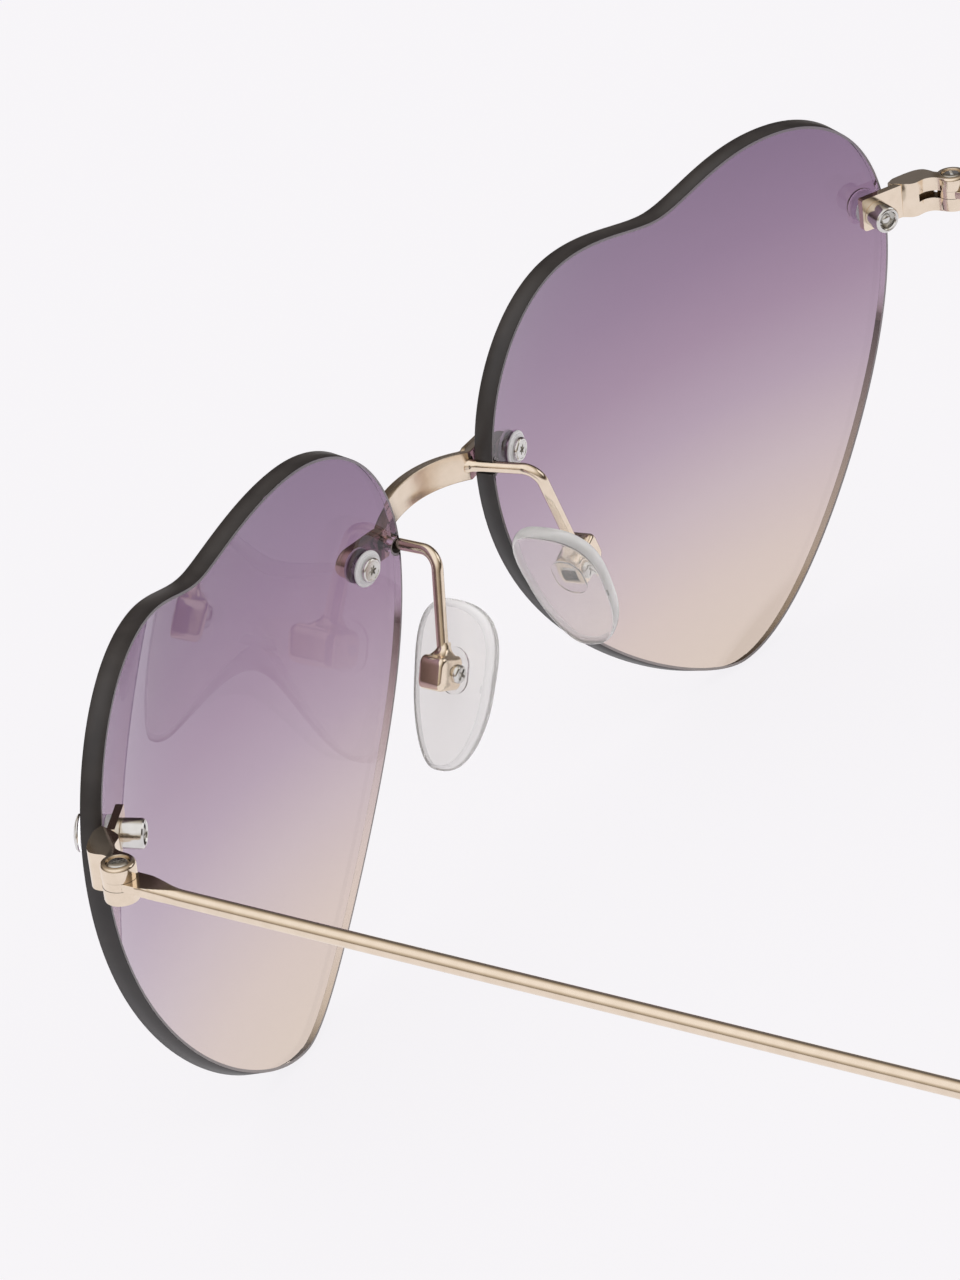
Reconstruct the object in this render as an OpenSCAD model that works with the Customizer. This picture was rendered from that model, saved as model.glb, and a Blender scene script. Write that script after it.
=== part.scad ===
// Rimless sunglasses with two heart shaped lenses.
// X runs to the wearer's left, Y to the rear along the open temples, Z up.
// The origin is on the surface that the lens tips and the temple tips stand on.
// Each side part is modelled on the wearer's left and mirrored for the right.

/* [Lenses] */
// Distance from the middle plane to the inner edge of each lens
lens_inner_offset = 8.3; // [8:0.1:9]
// Width of each heart
heart_w = 59.8; // [56:0.2:61]
// Height of each heart
heart_h = 50.8; // [46:0.2:54]
// Radius of the front surface of a lens
lens_radius = 96; // [90:1:120]
// Thickness of a lens
lens_t = 1.9; // [1.6:0.1:2.2]
// Angle in degrees by which the outer side of a lens turns back
lens_wrap_angle = 7.4; // [6:0.2:9]
// Angle in degrees by which the top of a lens leans forward
lens_tilt_angle = 3.6; // [2:0.2:5]

/* [Bridge] */
// Height of the bridge strap
bridge_h = 2.96; // [2.6:0.02:3.4]
// Thickness of the flat rear layer of the strap
bridge_back_t = 0.5; // [0.4:0.05:0.7]
// Thickness of the narrower front layer of the strap
bridge_front_t = 0.9; // [0.6:0.05:1.2]
// How much the front layer is lower at its top and at its bottom
bridge_ledge = 0.22; // [0.1:0.02:0.4]
// Half of the distance between the knees, where the strap meets its lugs
knee_offset = 7.8; // [7.2:0.1:8.2]
// Radius of the strap's rear face, seen from above
bow_radius = 20.4; // [18:0.2:26]
// Radius of the strap's middle line, seen from the front
arch_radius = 38; // [30:1:60]
// Thickness of the lug in front of each lens
lug_t = 1.3; // [1:0.05:1.6]
// Length of the lug beyond the screw
lug_end = 1.45; // [1.3:0.05:1.8]
// Angle in degrees by which the lug rises towards the bridge
lug_rise_angle = 1.8; // [0:0.2:6]
// Distance from the inner edge of a lens to the bridge screw
bridge_screw_inset = 4.3; // [4:0.05:4.8]
// Height of the bridge screw above the innermost place of a lens
bridge_screw_up = 0.3; // [0:0.05:0.6]
// Depth of the threaded blind hole in the lug
lug_hole_depth = 1; // [0.7:0.05:1.1]

/* [Bridge fixings] */
// Diameter of the bridge screw
bridge_screw_d = 1.4; // [1.2:0.05:1.5]
// Diameter of the bridge screw's head
bridge_head_d = 2.6; // [2.2:0.05:2.8]
// Height of the bridge screw's head
bridge_head_h = 0.45; // [0.4:0.05:0.6]
// Diameter of the bush flange on the rear of the lens
bush_flange_d = 3.5; // [3:0.05:4]
// Thickness of the bush flange
bush_flange_t = 0.28; // [0.2:0.02:0.4]
// Diameter of the raised collar on the flange
bush_collar_d = 2.9; // [2.8:0.05:3]
// Height of the raised collar
bush_collar_h = 0.1; // [0.05:0.01:0.2]
// Wall of the bush inside the lens
bush_wall = 0.34; // [0.25:0.01:0.4]
// Diameter of the washer between the lug and the lens
bridge_washer_d = 3.4; // [3:0.05:3.8]
// Thickness of that washer
bridge_washer_t = 0.35; // [0.2:0.05:0.5]

/* [Pad arms] */
// Diameter of the pad arm wire
arm_d = 1.1; // [1:0.05:1.2]
// How far the arm runs back from the knee to its corner
arm_back = 6.8; // [6:0.1:7.6]
// How far the arm moves outwards on the way to its corner
arm_out = 0.8; // [0.6:0.05:1]
// How far the arm rises on the way to its corner
arm_rise = 0.5; // [0:0.05:0.8]
// Radius of the arm's bend, along the wire's middle
arm_bend_radius = 1.8; // [1.2:0.1:2.4]
// Diameter of the solder collar that holds the arm on the bridge
arm_collar_d = 1.5; // [1.4:0.02:1.56]
// Height of the solder collar behind the knee
arm_collar_h = 0.25; // [0.15:0.05:0.35]
// Gap between the arm and the notch in the edge of the lens
arm_notch_gap = 0.3; // [0.28:0.02:0.4]

/* [Pad boxes] */
// Distance outwards from the knee to the rocking axis of the pad
pad_axis_out = 3.85; // [3.6:0.05:4.2]
// Distance back from the knee to the middle of the pad box
pad_axis_back = 8.2; // [7.8:0.1:8.8]
// Distance down from the knee to the rocking axis
pad_axis_drop = 10.1; // [9:0.1:12]
// Angle in degrees by which a pad splays outwards at its foot
pad_splay_angle = 22.3; // [18:0.5:26]
// Angle in degrees by which a pad leans forward at its top
pad_lean_angle = 4; // [0:0.5:8]
// Angle in degrees by which a pad turns about the vertical
pad_turn_angle = 6; // [2:0.5:10]
// Distance from the rocking axis to the open side of the pad box
box_inner = 1.05; // [1:0.02:1.1]
// Distance from the rocking axis to the closed side of the pad box
box_outer = 1.35; // [1.3:0.05:1.6]
// Depth of the pad box from front to rear
box_depth = 2.7; // [2.6:0.05:3]
// Height of the pad box
box_h = 3.2; // [3.1:0.05:3.5]
// Radius of the pad box's corners
box_corner = 0.5; // [0.45:0.05:0.7]
// Width of the slot in the pad box
box_slot_w = 1.6; // [1.5:0.02:1.7]
// Height of the slot in the pad box
box_slot_h = 1.9; // [1.8:0.05:2]
// Thickness of the pad box's closed wall
box_wall = 0.4; // [0.35:0.01:0.42]
// Height of the flare between the arm and the pad box
box_flare_h = 0.8; // [0.5:0.1:1.2]
// Diameter of the flare's foot
box_flare_d = 2; // [1.6:0.1:2.2]
// Diameter of the pad screw
pad_screw_d = 1; // [0.8:0.02:1.04]
// Diameter of the pad screw's head
pad_head_d = 1.95; // [1.8:0.05:2.1]
// Height of the pad screw's head
pad_head_h = 0.5; // [0.4:0.05:0.6]

/* [Nose pads] */
// Height of a nose pad
pad_h = 15.4; // [13:0.2:16]
// Reach of a pad to the rear of its middle
pad_rear_w = 5; // [4.4:0.1:5.4]
// Reach of a pad to the front of its middle
pad_front_w = 3.4; // [3:0.1:3.8]
// Thickness of a pad
pad_t = 1.6; // [1.3:0.1:2]
// Width of the bevel around a pad
pad_bevel = 0.5; // [0.3:0.05:0.6]
// Gap between the pad and its box
pad_gap = 0.35; // [0.32:0.01:0.5]
// Distance of the pad's middle below its rocking axis
pad_drop = 1.56; // [1:0.02:2]
// Distance of the pad's middle in front of its box's middle
pad_forward = 1.15; // [0.8:0.05:1.4]
// Height of the plate of the pad's core
core_h = 4.4; // [4:0.1:5]
// Width of the plate of the pad's core
core_w = 3.2; // [3:0.1:3.6]
// Thickness of the plate of the pad's core
core_t = 0.5; // [0.4:0.05:0.7]
// Diameter of the tongue that the pad screw holds
tongue_d = 1.6; // [1.5:0.02:1.66]
// Width of the tongue
tongue_w = 1.4; // [1.3:0.02:1.44]
// Height of the neck between the plate and the tongue
core_neck_h = 1; // [0.9:0.05:1.1]

/* [Endpieces] */
// Distance from the outer edge of a lens to the endpiece screw
end_screw_inset = 1.6; // [1.5:0.05:2]
// Height of the endpiece screw above the widest place of a lens
end_screw_up = 2.65; // [2.2:0.05:3]
// Thickness of the plate behind the lens
plate_t = 0.7; // [0.6:0.05:0.9]
// Height of the plate behind the lens
plate_h = 3.5; // [3.4:0.05:3.6]
// Length of the plate on the inner side of its screw
plate_in = 1.6; // [1.5:0.05:2]
// Length of the plate from its screw to the crease
plate_out = 2.95; // [2.8:0.05:3.2]
// Height of the plate below its screw
plate_below = 1.5; // [1.45:0.05:1.6]
// Distance outwards from the crease to the hinge axis
hinge_out = 4.2; // [3.9:0.05:4.5]
// Distance back from the crease to the hinge axis
hinge_back = 3.4; // [3:0.05:3.6]
// Height of the hinge barrel
hinge_h = 3.6; // [3.4:0.05:4]
// Diameter of the hinge barrel
hinge_d = 3.1; // [2.9:0.05:3.3]
// Gap above and below the temple leaf in the hinge
hinge_gap = 0.03; // [0.02:0.01:0.06]
// Reach of the leaf slot from the hinge axis towards the lens
slot_reach = 3.6; // [3:0.1:3.8]
// Depth of the leaf slot in front of the hinge axis
slot_depth = 1.9; // [1.7:0.05:2]

/* [Endpiece fixings] */
// Diameter of the endpiece screw
end_screw_d = 1.2; // [1:0.05:1.3]
// Diameter of the hole in the lens for the endpiece screw
end_hole_d = 1.4; // [1.3:0.05:1.5]
// Diameter of the endpiece screw's head
end_head_d = 3.35; // [3:0.05:3.4]
// Height of the endpiece screw's head
end_head_h = 0.52; // [0.4:0.02:0.7]
// Thickness of the washer in front of the lens
end_washer_t = 0.25; // [0.15:0.05:0.4]
// Thickness of the spacer behind the lens
end_spacer_t = 0.65; // [0.5:0.05:0.8]
// Diameter of the spacer behind the lens
end_spacer_d = 3.2; // [2.8:0.05:3.3]
// Diameter of the tubular nut
nut_d = 2.7; // [2.5:0.05:2.8]
// Length of the tubular nut
nut_l = 2; // [1.6:0.1:2.4]
// Diameter of the nut's open end
nut_mouth_d = 1.76; // [1.6:0.02:1.9]
// Depth of the nut's open end
nut_mouth_depth = 0.7; // [0.5:0.05:0.9]
// Diameter of the hinge screw
hinge_screw_d = 1.4; // [1.2:0.05:1.5]
// Diameter of the hinge screw's head
hinge_head_d = 2.1; // [1.9:0.05:2.3]
// Height of the hinge screw's head
hinge_head_h = 0.4; // [0.3:0.05:0.5]
// How deep the head sits below the top of the barrel
hinge_head_sink = 0.1; // [0.05:0.01:0.2]

/* [Temples] */
// Diameter of the temple wire
temple_d = 1.5; // [1.3:0.05:1.7]
// Length of the straight wire from the hinge axis to the ear bend
temple_straight = 87; // [80:1:95]
// Radius of the ear bend, along the wire's middle
ear_radius = 15; // [12:0.5:20]
// Angle in degrees of the ear bend
ear_angle = 50; // [40:1:60]
// Thickness of the hinge leaf
leaf_t = 0.75; // [0.65:0.05:0.9]
// Width of the hinge leaf
leaf_w = 2.4; // [2.2:0.05:2.6]
// Length of the leaf from the hinge axis to the neck
leaf_l = 2.6; // [2.4:0.1:3]
// Length of the neck between the leaf and the round wire
neck_l = 3.4; // [2.8:0.1:4]

/* [Temple tips] */
// Length of the sleeve in front of the ear bend
sleeve_lead = 3; // [2:0.5:5]
// Diameter of the slim part of the sleeve
sleeve_slim_d = 2.9; // [2.6:0.1:3.1]
// Diameter of the thick part of the sleeve
sleeve_d = 3.8; // [3.4:0.1:4.2]
// Length over which the sleeve grows thicker
sleeve_taper_l = 12; // [8:1:16]
// How far the wire ends before the end of the sleeve
sleeve_plug = 4; // [3:0.5:6]

/* [Fits] */
// Radial gap around screws and between parts that are fixed
fixed_gap = 0.02; // [0.01:0.005:0.025]
// Radial gap around a pin that something turns on
turning_gap = 0.03; // [0.02:0.005:0.04]
// Width of the driver slots in the screw heads
driver_w = 0.28; // [0.2:0.02:0.32]
// Depth of the driver slots in the screw heads
driver_depth = 0.22; // [0.15:0.01:0.25]

/* [Hidden] */
$fn = 64;
// Overrun of every cut
over = 0.5;
// How much smaller a wire's radius is on its straight runs than in its bend
run_slack = 0.01;
// How far a straight run reaches into the bend
run_overlap = 0.1;

// Points of the heart as shares of its width and its height, from the lens centre
tip_share = [0.043, -0.547];
outer_share = [0.525, 0.146];
outer_lobe_share = [0.268, 0.453];
dip_share = [0.037, 0.398];
inner_lobe_share = [-0.224, 0.449];
inner_share = [-0.475, 0.150];
// Handles of the curves between them, as shares of the width or the height
tip_handle_shares = [0.130, 0.194];
outer_handle_shares = [0.335, 0.150];
outer_lobe_handle_shares = [0.181, 0.100];
dip_handle_shares = [0.064, 0.057];
inner_lobe_handle_shares = [0.104, 0.144];
inner_handle_shares = [0.165, 0.378];
heart_steps = 12;

// Distance from the middle plane to each lens centre
lens_offset = lens_inner_offset - inner_share.x * heart_w;

// A share of the heart as a place on the lens
function heart_at(share) = [share.x * heart_w, share.y * heart_h];
// A point on a cubic curve with the ends a and d and the handles b and c
function curve(a, b, c, d, t) =
    pow(1 - t, 3) * a + 3 * pow(1 - t, 2) * t * b + 3 * (1 - t) * t * t * c + pow(t, 3) * d;
// One stretch of the heart, with its handles given as steps from its ends
function stretch(a, a_step, b, b_step) =
    [for (i = [0 : heart_steps - 1]) curve(a, a + a_step, b + b_step, b, i / heart_steps)];

heart_tip = heart_at(tip_share);
heart_outer = heart_at(outer_share);
heart_outer_lobe = heart_at(outer_lobe_share);
heart_dip = heart_at(dip_share);
heart_inner_lobe = heart_at(inner_lobe_share);
heart_inner = heart_at(inner_share);
heart_outline = concat(
    stretch(heart_tip, [tip_handle_shares[1] * heart_w, 0],
        heart_outer, [0, -outer_handle_shares[0] * heart_h]),
    stretch(heart_outer, [0, outer_handle_shares[1] * heart_h],
        heart_outer_lobe, [outer_lobe_handle_shares[0] * heart_w, 0]),
    stretch(heart_outer_lobe, [-outer_lobe_handle_shares[1] * heart_w, 0],
        heart_dip, [dip_handle_shares[0] * heart_w, 0]),
    stretch(heart_dip, [-dip_handle_shares[1] * heart_w, 0],
        heart_inner_lobe, [inner_lobe_handle_shares[0] * heart_w, 0]),
    stretch(heart_inner_lobe, [-inner_lobe_handle_shares[1] * heart_w, 0],
        heart_inner, [0, inner_handle_shares[0] * heart_h]),
    stretch(heart_inner, [0, -inner_handle_shares[1] * heart_h],
        heart_tip, [-tip_handle_shares[0] * heart_w, 0])
);

// Turns a point about X or about Z
function turn_x(angle, p) =
    [p.x, cos(angle) * p.y - sin(angle) * p.z, sin(angle) * p.y + cos(angle) * p.z];
function turn_z(angle, p) =
    [cos(angle) * p.x - sin(angle) * p.y, sin(angle) * p.x + cos(angle) * p.y, p.z];
// Angles in degrees that carry the lens centre to a place on the front surface
function place_lean(place) = -asin(place.y / lens_radius);
function place_swing(place) = asin(place.x / (lens_radius * cos(place_lean(place))));
// A point given at a place on the lens, with Y along the normal there, in the frame of the glasses
function at_place(place, p) =
    [lens_offset, 0, 0] + turn_x(lens_tilt_angle, turn_z(lens_wrap_angle,
        [0, lens_radius, 0] + turn_z(place_swing(place),
            turn_x(place_lean(place), p - [0, lens_radius, 0]))));

// Distance of the front surface behind the lens centre at a place
function sag(place) = lens_radius - sqrt(pow(lens_radius, 2) - pow(norm(place), 2));
lens_depth = sag([heart_w, heart_h] / 2) + lens_t + 2 * over;

bridge_place = [heart_inner.x + bridge_screw_inset, heart_inner.y + bridge_screw_up];
end_place = [heart_outer.x - end_screw_inset, heart_outer.y + end_screw_up];

// The strap and its lugs meet at the knee
lug_length = at_place(bridge_place, [0, 0, 0]).x - knee_offset;
knee = [
    knee_offset,
    at_place(bridge_place, [-lug_length, -bridge_washer_t, 0]).y,
    at_place(bridge_place, [-lug_length, -bridge_washer_t, lug_length * tan(lug_rise_angle)]).z
];
bridge_t = bridge_back_t + bridge_front_t;
bow_centre_y = knee.y + sqrt(pow(bow_radius, 2) - pow(knee.x, 2));
arch_centre_z = knee.z - sqrt(pow(arch_radius, 2) - pow(knee.x, 2));

arm_corner = knee + [arm_out, arm_back, arm_rise];
arm_foot = knee + (arm_corner - knee) * arm_collar_h / norm(arm_corner - knee);
pad_axis = knee + [pad_axis_out, pad_axis_back, -pad_axis_drop];
pad_angles = [pad_lean_angle, -pad_splay_angle, -pad_turn_angle];
box_middle = (box_outer - box_inner) / 2;

bush_seat = lens_t + pow(bush_flange_d / 2, 2) / (2 * (lens_radius - lens_t));
bush_d = bridge_screw_d + 2 * (fixed_gap + bush_wall);
bridge_hole_d = bush_d + 2 * turning_gap;
bridge_head_y = bush_seat + bush_flange_t + bush_collar_h;

// The plate stands behind the lens and its spacer
spacer_seat = lens_t + pow(end_spacer_d / 2, 2) / (2 * (lens_radius - lens_t));
plate_front = spacer_seat + end_spacer_t;
plate_rear = plate_front + plate_t;
plate_mid = plate_h / 2 - plate_below;
crease = at_place(end_place, [plate_out, plate_rear, plate_mid]);
hinge = crease + [hinge_out, hinge_back, 0];
hinge_bottom = hinge.z - hinge_h / 2;
hinge_top = hinge.z + hinge_h / 2;
// Outline of the endpiece between the crease and the barrel, from the hinge axis,
// as shares of the distances between the crease and that axis
shoulder_shares = [[-1, -1], [-0.9, -1.58], [-0.06, -1.14], [-0.06, -0.4], [0, 0], [-0.35, -0.18]];

temple_z = hinge.z + leaf_t / 2 - temple_d / 2;
// The wire's corner lies where its two straight runs would meet
ear_corner = [hinge.x, hinge.y + temple_straight + ear_radius * tan(ear_angle / 2), temple_z];
ear_way = [0, cos(ear_angle), -sin(ear_angle)];
lens_drop = -heart_tip.y * cos(lens_tilt_angle) - sag(heart_tip) * sin(lens_tilt_angle);
// The rounded end of the sleeve stands on the same level as the tips of the lenses
tip_run = (temple_z + lens_drop - sleeve_d / 2) / sin(ear_angle);
tip_centre = ear_corner + tip_run * ear_way;
ear_bend_l = ear_radius * tan(ear_angle / 2);
sleeve_run = tip_run - ear_bend_l + run_overlap;
front_y = bow_centre_y - bow_radius - bridge_t;
rear_y = tip_centre.y + sleeve_d / 2;

// Places the wearer's left side, and its mirror image on the right
module on_left() translate([0, -(front_y + rear_y) / 2, lens_drop]) children();
module on_right() on_left() mirror([1, 0, 0]) children();

// Carries a child from the lens centre, with X outwards, Y to the rear and Z up
module on_lens() {
    translate([lens_offset, 0, 0]) rotate([lens_tilt_angle, 0, 0])
        rotate([0, 0, lens_wrap_angle]) children();
}

// Carries a child to a place on the front surface, with Y along the normal to the rear
module on_place(place) {
    on_lens() translate([0, lens_radius, 0]) rotate([place_lean(place), 0, place_swing(place)])
        translate([0, -lens_radius, 0]) children();
}

// Carries a child to the middle of the pad box, with Y along the rocking axis
module on_pad_axis() translate(pad_axis) rotate(pad_angles) children();

// A cylinder along Y
module y_cylinder(d, from, to) translate([0, from, 0]) rotate([-90, 0, 0]) cylinder(d = d, h = to - from);

// Carries a child that points along Z to a point, and aims it at another
module aim(from, to) {
    way = to - from;
    translate(from) rotate([0, acos(way.z / norm(way)), atan2(way.y, way.x)]) children();
}

module rod(from, to, d) aim(from, to) cylinder(d = d, h = norm(to - from));

// The round section of a wire, or of a tube where it has a bore
module wire_section(d, bore) {
    difference() {
        circle(d = d);
        if (bore > 0) circle(d = bore);
    }
}

// A wire or tube from a start to a corner, round a bend and on to an end.
// Its straight runs are a hair thinner than the bend and reach a little into it.
module bent_wire(start, corner, end, radius, d, bore = 0) {
    to_start = (start - corner) / norm(start - corner);
    to_end = (end - corner) / norm(end - corner);
    opening = acos(to_start * to_end);
    setback = radius / tan(opening / 2) - run_overlap;
    centre = corner + (to_start + to_end) / norm(to_start + to_end) * radius / sin(opening / 2);
    side = (corner + (setback + run_overlap) * to_start - centre) / radius;
    along = -to_start;
    normal = cross(side, along);
    run_bore = bore > 0 ? bore + 2 * run_slack : 0;
    aim(start, corner) linear_extrude(norm(start - corner) - setback)
        wire_section(d - 2 * run_slack, run_bore);
    multmatrix([
        [side.x, along.x, normal.x, centre.x],
        [side.y, along.y, normal.y, centre.y],
        [side.z, along.z, normal.z, centre.z],
        [0, 0, 0, 1]
    ]) rotate_extrude(angle = 180 - opening) translate([radius, 0]) wire_section(d, bore);
    aim(corner + setback * to_end, end) linear_extrude(norm(end - corner) - setback)
        wire_section(d - 2 * run_slack, run_bore);
}

// A flat shape in X and Z, extruded along Y
module y_extrude(from, to) translate([0, to, 0]) rotate([90, 0, 0]) linear_extrude(to - from) children();

// A rectangle with round corners around the origin
module round_rect(w, h, r) {
    square([w - 2 * r, h], center = true);
    square([w, h - 2 * r], center = true);
    for (x = [-1, 1], y = [-1, 1]) translate([x * (w / 2 - r), y * (h / 2 - r)]) circle(r);
}

// A cross of two driver slots, cut into a face that looks along Y
module driver_cross(face_y, length) {
    for (angle = [0, 90]) rotate([0, angle, 0])
        translate([-length / 2, face_y - driver_depth, -driver_w / 2])
            cube([length, driver_depth + over, driver_w]);
}

module lens() {
    color([0.62, 0.5, 0.65, 0.7]) difference() {
        on_lens() intersection() {
            y_extrude(-over, lens_depth) polygon(heart_outline);
            translate([0, lens_radius, 0]) difference() {
                sphere(lens_radius);
                sphere(lens_radius - lens_t);
            }
        }
        on_place(bridge_place) y_cylinder(bridge_hole_d, -over, lens_t + over);
        on_place(end_place) y_cylinder(end_hole_d, -over, lens_t + over);
        rod(knee, arm_corner, arm_d + 2 * arm_notch_gap);
    }
}

// One half of the strap, from the middle plane to the knee
module half_strap(inner_radius, thickness, height) {
    intersection() {
        translate([0, bow_centre_y, knee.z - bridge_h]) linear_extrude(3 * bridge_h)
            difference() {
                circle(inner_radius + thickness, $fn = 180);
                circle(inner_radius, $fn = 180);
            }
        translate([0, 0, arch_centre_z]) y_extrude(front_y - over, knee.y + over)
            difference() {
                circle(arch_radius + height / 2, $fn = 180);
                circle(arch_radius - height / 2, $fn = 180);
            }
        translate([0, front_y - over, knee.z - bridge_h])
            cube([knee.x, knee.y - front_y + 2 * over, 3 * bridge_h]);
    }
}

// The lug runs from the knee along the front of the lens and ends round beyond the screw
module lug() {
    difference() {
        on_place(bridge_place) difference() {
            rotate([0, lug_rise_angle, 0]) y_extrude(-bridge_washer_t - lug_t, -bridge_washer_t) {
                translate([-2 * lug_length, -bridge_h / 2]) square([2 * lug_length, bridge_h]);
                intersection() {
                    circle(d = bridge_h);
                    translate([0, -bridge_h / 2]) square([lug_end, bridge_h]);
                }
            }
            y_cylinder(bridge_screw_d + 2 * fixed_gap, -bridge_washer_t - lug_hole_depth, over);
        }
        translate([knee.x - 2 * lug_length, -bridge_h - lug_t - over, knee.z - 2 * bridge_h])
            cube([2 * lug_length, 2 * (bridge_h + lug_t), 4 * bridge_h]);
    }
}

module half_bridge() {
    half_strap(bow_radius, bridge_back_t, bridge_h);
    half_strap(bow_radius + bridge_back_t, bridge_front_t, bridge_h - 2 * bridge_ledge);
    lug();
    rod(knee - (arm_foot - knee) * bridge_back_t / arm_collar_h, arm_foot, arm_collar_d);
}

module bridge() {
    color([0.85, 0.77, 0.64]) {
        half_bridge();
        mirror([1, 0, 0]) half_bridge();
    }
}

module bridge_screw() {
    shank_end = lug_hole_depth - 2 * fixed_gap;
    color([0.78, 0.77, 0.74]) on_place(bridge_place) difference() {
        union() {
            y_cylinder(bridge_screw_d, -bridge_washer_t - shank_end, bridge_head_y + bridge_head_h / 2);
            y_cylinder(bridge_head_d, bridge_head_y, bridge_head_y + bridge_head_h);
        }
        driver_cross(bridge_head_y + bridge_head_h, bridge_head_d - 4 * driver_w);
    }
}

module bridge_bush() {
    color([0.9, 0.9, 0.92, 0.7]) on_place(bridge_place) difference() {
        union() {
            y_cylinder(bush_d, fixed_gap, bush_seat + bush_flange_t);
            y_cylinder(bush_flange_d, bush_seat, bush_seat + bush_flange_t);
            y_cylinder(bush_collar_d, bush_seat, bridge_head_y);
        }
        y_cylinder(bridge_screw_d + 2 * fixed_gap, -over, bridge_head_y + over);
    }
}

module bridge_washer() {
    color([0.9, 0.9, 0.92, 0.7]) on_place(bridge_place) difference() {
        y_cylinder(bridge_washer_d, -bridge_washer_t, 0);
        y_cylinder(bridge_screw_d + 2 * fixed_gap, -bridge_washer_t - over, over);
    }
}

// The pad box, open towards the pad, with a bore for its screw
module pad_box() {
    difference() {
        union() {
            translate([box_middle, 0, 0]) y_extrude(-box_depth / 2, box_depth / 2)
                round_rect(box_inner + box_outer, box_h, box_corner);
            translate([box_middle, 0, box_h / 2 - box_flare_h / 2])
                cylinder(d1 = box_flare_d, d2 = arm_d, h = 2 * box_flare_h);
        }
        translate([-box_inner - over, -box_slot_w / 2, -box_slot_h / 2])
            cube([box_inner + over + box_outer - box_wall, box_slot_w, box_slot_h]);
        y_cylinder(pad_screw_d + 2 * fixed_gap, -box_depth, box_depth);
    }
}

// A point of the pad box's frame in the frame of the glasses
function from_pad_axis(p) =
    let (
        leant = turn_x(pad_lean_angle, p),
        splayed = [
            cos(pad_splay_angle) * leant.x - sin(pad_splay_angle) * leant.z,
            leant.y,
            sin(pad_splay_angle) * leant.x + cos(pad_splay_angle) * leant.z
        ]
    ) pad_axis + turn_z(-pad_turn_angle, splayed);

module pad_arm() {
    color([0.85, 0.77, 0.64]) {
        bent_wire(arm_foot, arm_corner, from_pad_axis([box_middle, 0, box_h / 2]), arm_bend_radius, arm_d);
        on_pad_axis() pad_box();
    }
}

module pad_screw() {
    color([0.78, 0.77, 0.74]) on_pad_axis() difference() {
        union() {
            y_cylinder(pad_screw_d, -box_depth / 2, box_depth / 2 + pad_head_h / 2);
            y_cylinder(pad_head_d, box_depth / 2, box_depth / 2 + pad_head_h);
        }
        driver_cross(box_depth / 2 + pad_head_h, pad_head_d - 2 * driver_w);
    }
}

pad_face = -box_inner - pad_gap;

// A flat shape extruded along X, its own X along Y and its own Y along Z
module x_extrude(from, to) translate([from, 0, 0]) rotate([90, 0, 90]) linear_extrude(to - from) children();

// The upright oblong of the pad's core
module oblong(w, h) {
    square([w, h - w], center = true);
    for (side = [-1, 1]) translate([0, side * (h - w) / 2]) circle(d = w);
}

module pad_core() {
    color([0.8, 0.79, 0.75]) on_pad_axis() difference() {
        union() {
            x_extrude(pad_face - core_t, pad_face) oblong(core_w, core_h);
            translate([pad_face - core_t / 2, -tongue_w / 2, -core_neck_h / 2])
                cube([-pad_face + core_t / 2, tongue_w, core_neck_h]);
            y_cylinder(tongue_d, -tongue_w / 2, tongue_w / 2);
        }
        y_cylinder(pad_screw_d + 2 * turning_gap, -tongue_w, tongue_w);
    }
}

// The pad's outline is a rounded egg, wider at its top and wider to the rear
pad_roundness = 0.78;
pad_egg_share = 0.26;
pad_points = 48;
function soft_power(value) = sign(value) * pow(abs(value), pad_roundness);
function pad_outline(inset) = [
    for (i = [0 : pad_points - 1]) let (
        angle = 360 * i / pad_points,
        reach = cos(angle) > 0 ? pad_rear_w : pad_front_w
    ) [
        (reach - inset) * soft_power(cos(angle)) * (1 + pad_egg_share * sin(angle)),
        (pad_h / 2 - inset) * soft_power(sin(angle))
    ]
];

module nose_pad() {
    color([0.93, 0.93, 0.94, 0.6]) on_pad_axis() difference() {
        translate([0, -pad_forward, -pad_drop]) hull() {
            x_extrude(pad_face - pad_t, pad_face) polygon(pad_outline(pad_bevel));
            x_extrude(pad_face - pad_t + pad_bevel, pad_face - pad_bevel) polygon(pad_outline(0));
        }
        x_extrude(pad_face - core_t - fixed_gap, pad_face + over)
            oblong(core_w + 2 * fixed_gap, core_h + 2 * fixed_gap);
    }
}

// The plate behind the lens, the shoulder and the forked barrel of the hinge
module endpiece() {
    slot_h = leaf_t + 2 * hinge_gap;
    color([0.85, 0.77, 0.64]) difference() {
        union() {
            on_place(end_place) translate([-plate_in, plate_front, -plate_below])
                cube([plate_in + plate_out, plate_t, plate_h]);
            translate([hinge.x, hinge.y, hinge_bottom]) linear_extrude(hinge_h)
                polygon([for (share = shoulder_shares) [share.x * hinge_out, share.y * hinge_back]]);
            translate([hinge.x, hinge.y, hinge_bottom]) cylinder(d = hinge_d, h = hinge_h);
        }
        on_place(end_place) y_cylinder(end_screw_d + 2 * fixed_gap, lens_t, plate_rear + over);
        translate([hinge.x, hinge.y, hinge.z - slot_h / 2]) {
            cylinder(r = slot_depth, h = slot_h);
            rotate([0, 0, atan2(hinge_back, hinge_out)]) translate([-slot_reach, -slot_depth / 2, 0])
                cube([slot_reach, slot_depth / 2 + hinge_d, slot_h]);
        }
        translate([hinge.x, hinge.y, hinge_bottom - over])
            cylinder(d = hinge_screw_d + 2 * fixed_gap, h = hinge_h + 2 * over);
        translate([hinge.x, hinge.y, hinge_top - hinge_head_sink - hinge_head_h])
            cylinder(d = hinge_head_d + 2 * fixed_gap, h = hinge_head_h + over);
    }
}

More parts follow.
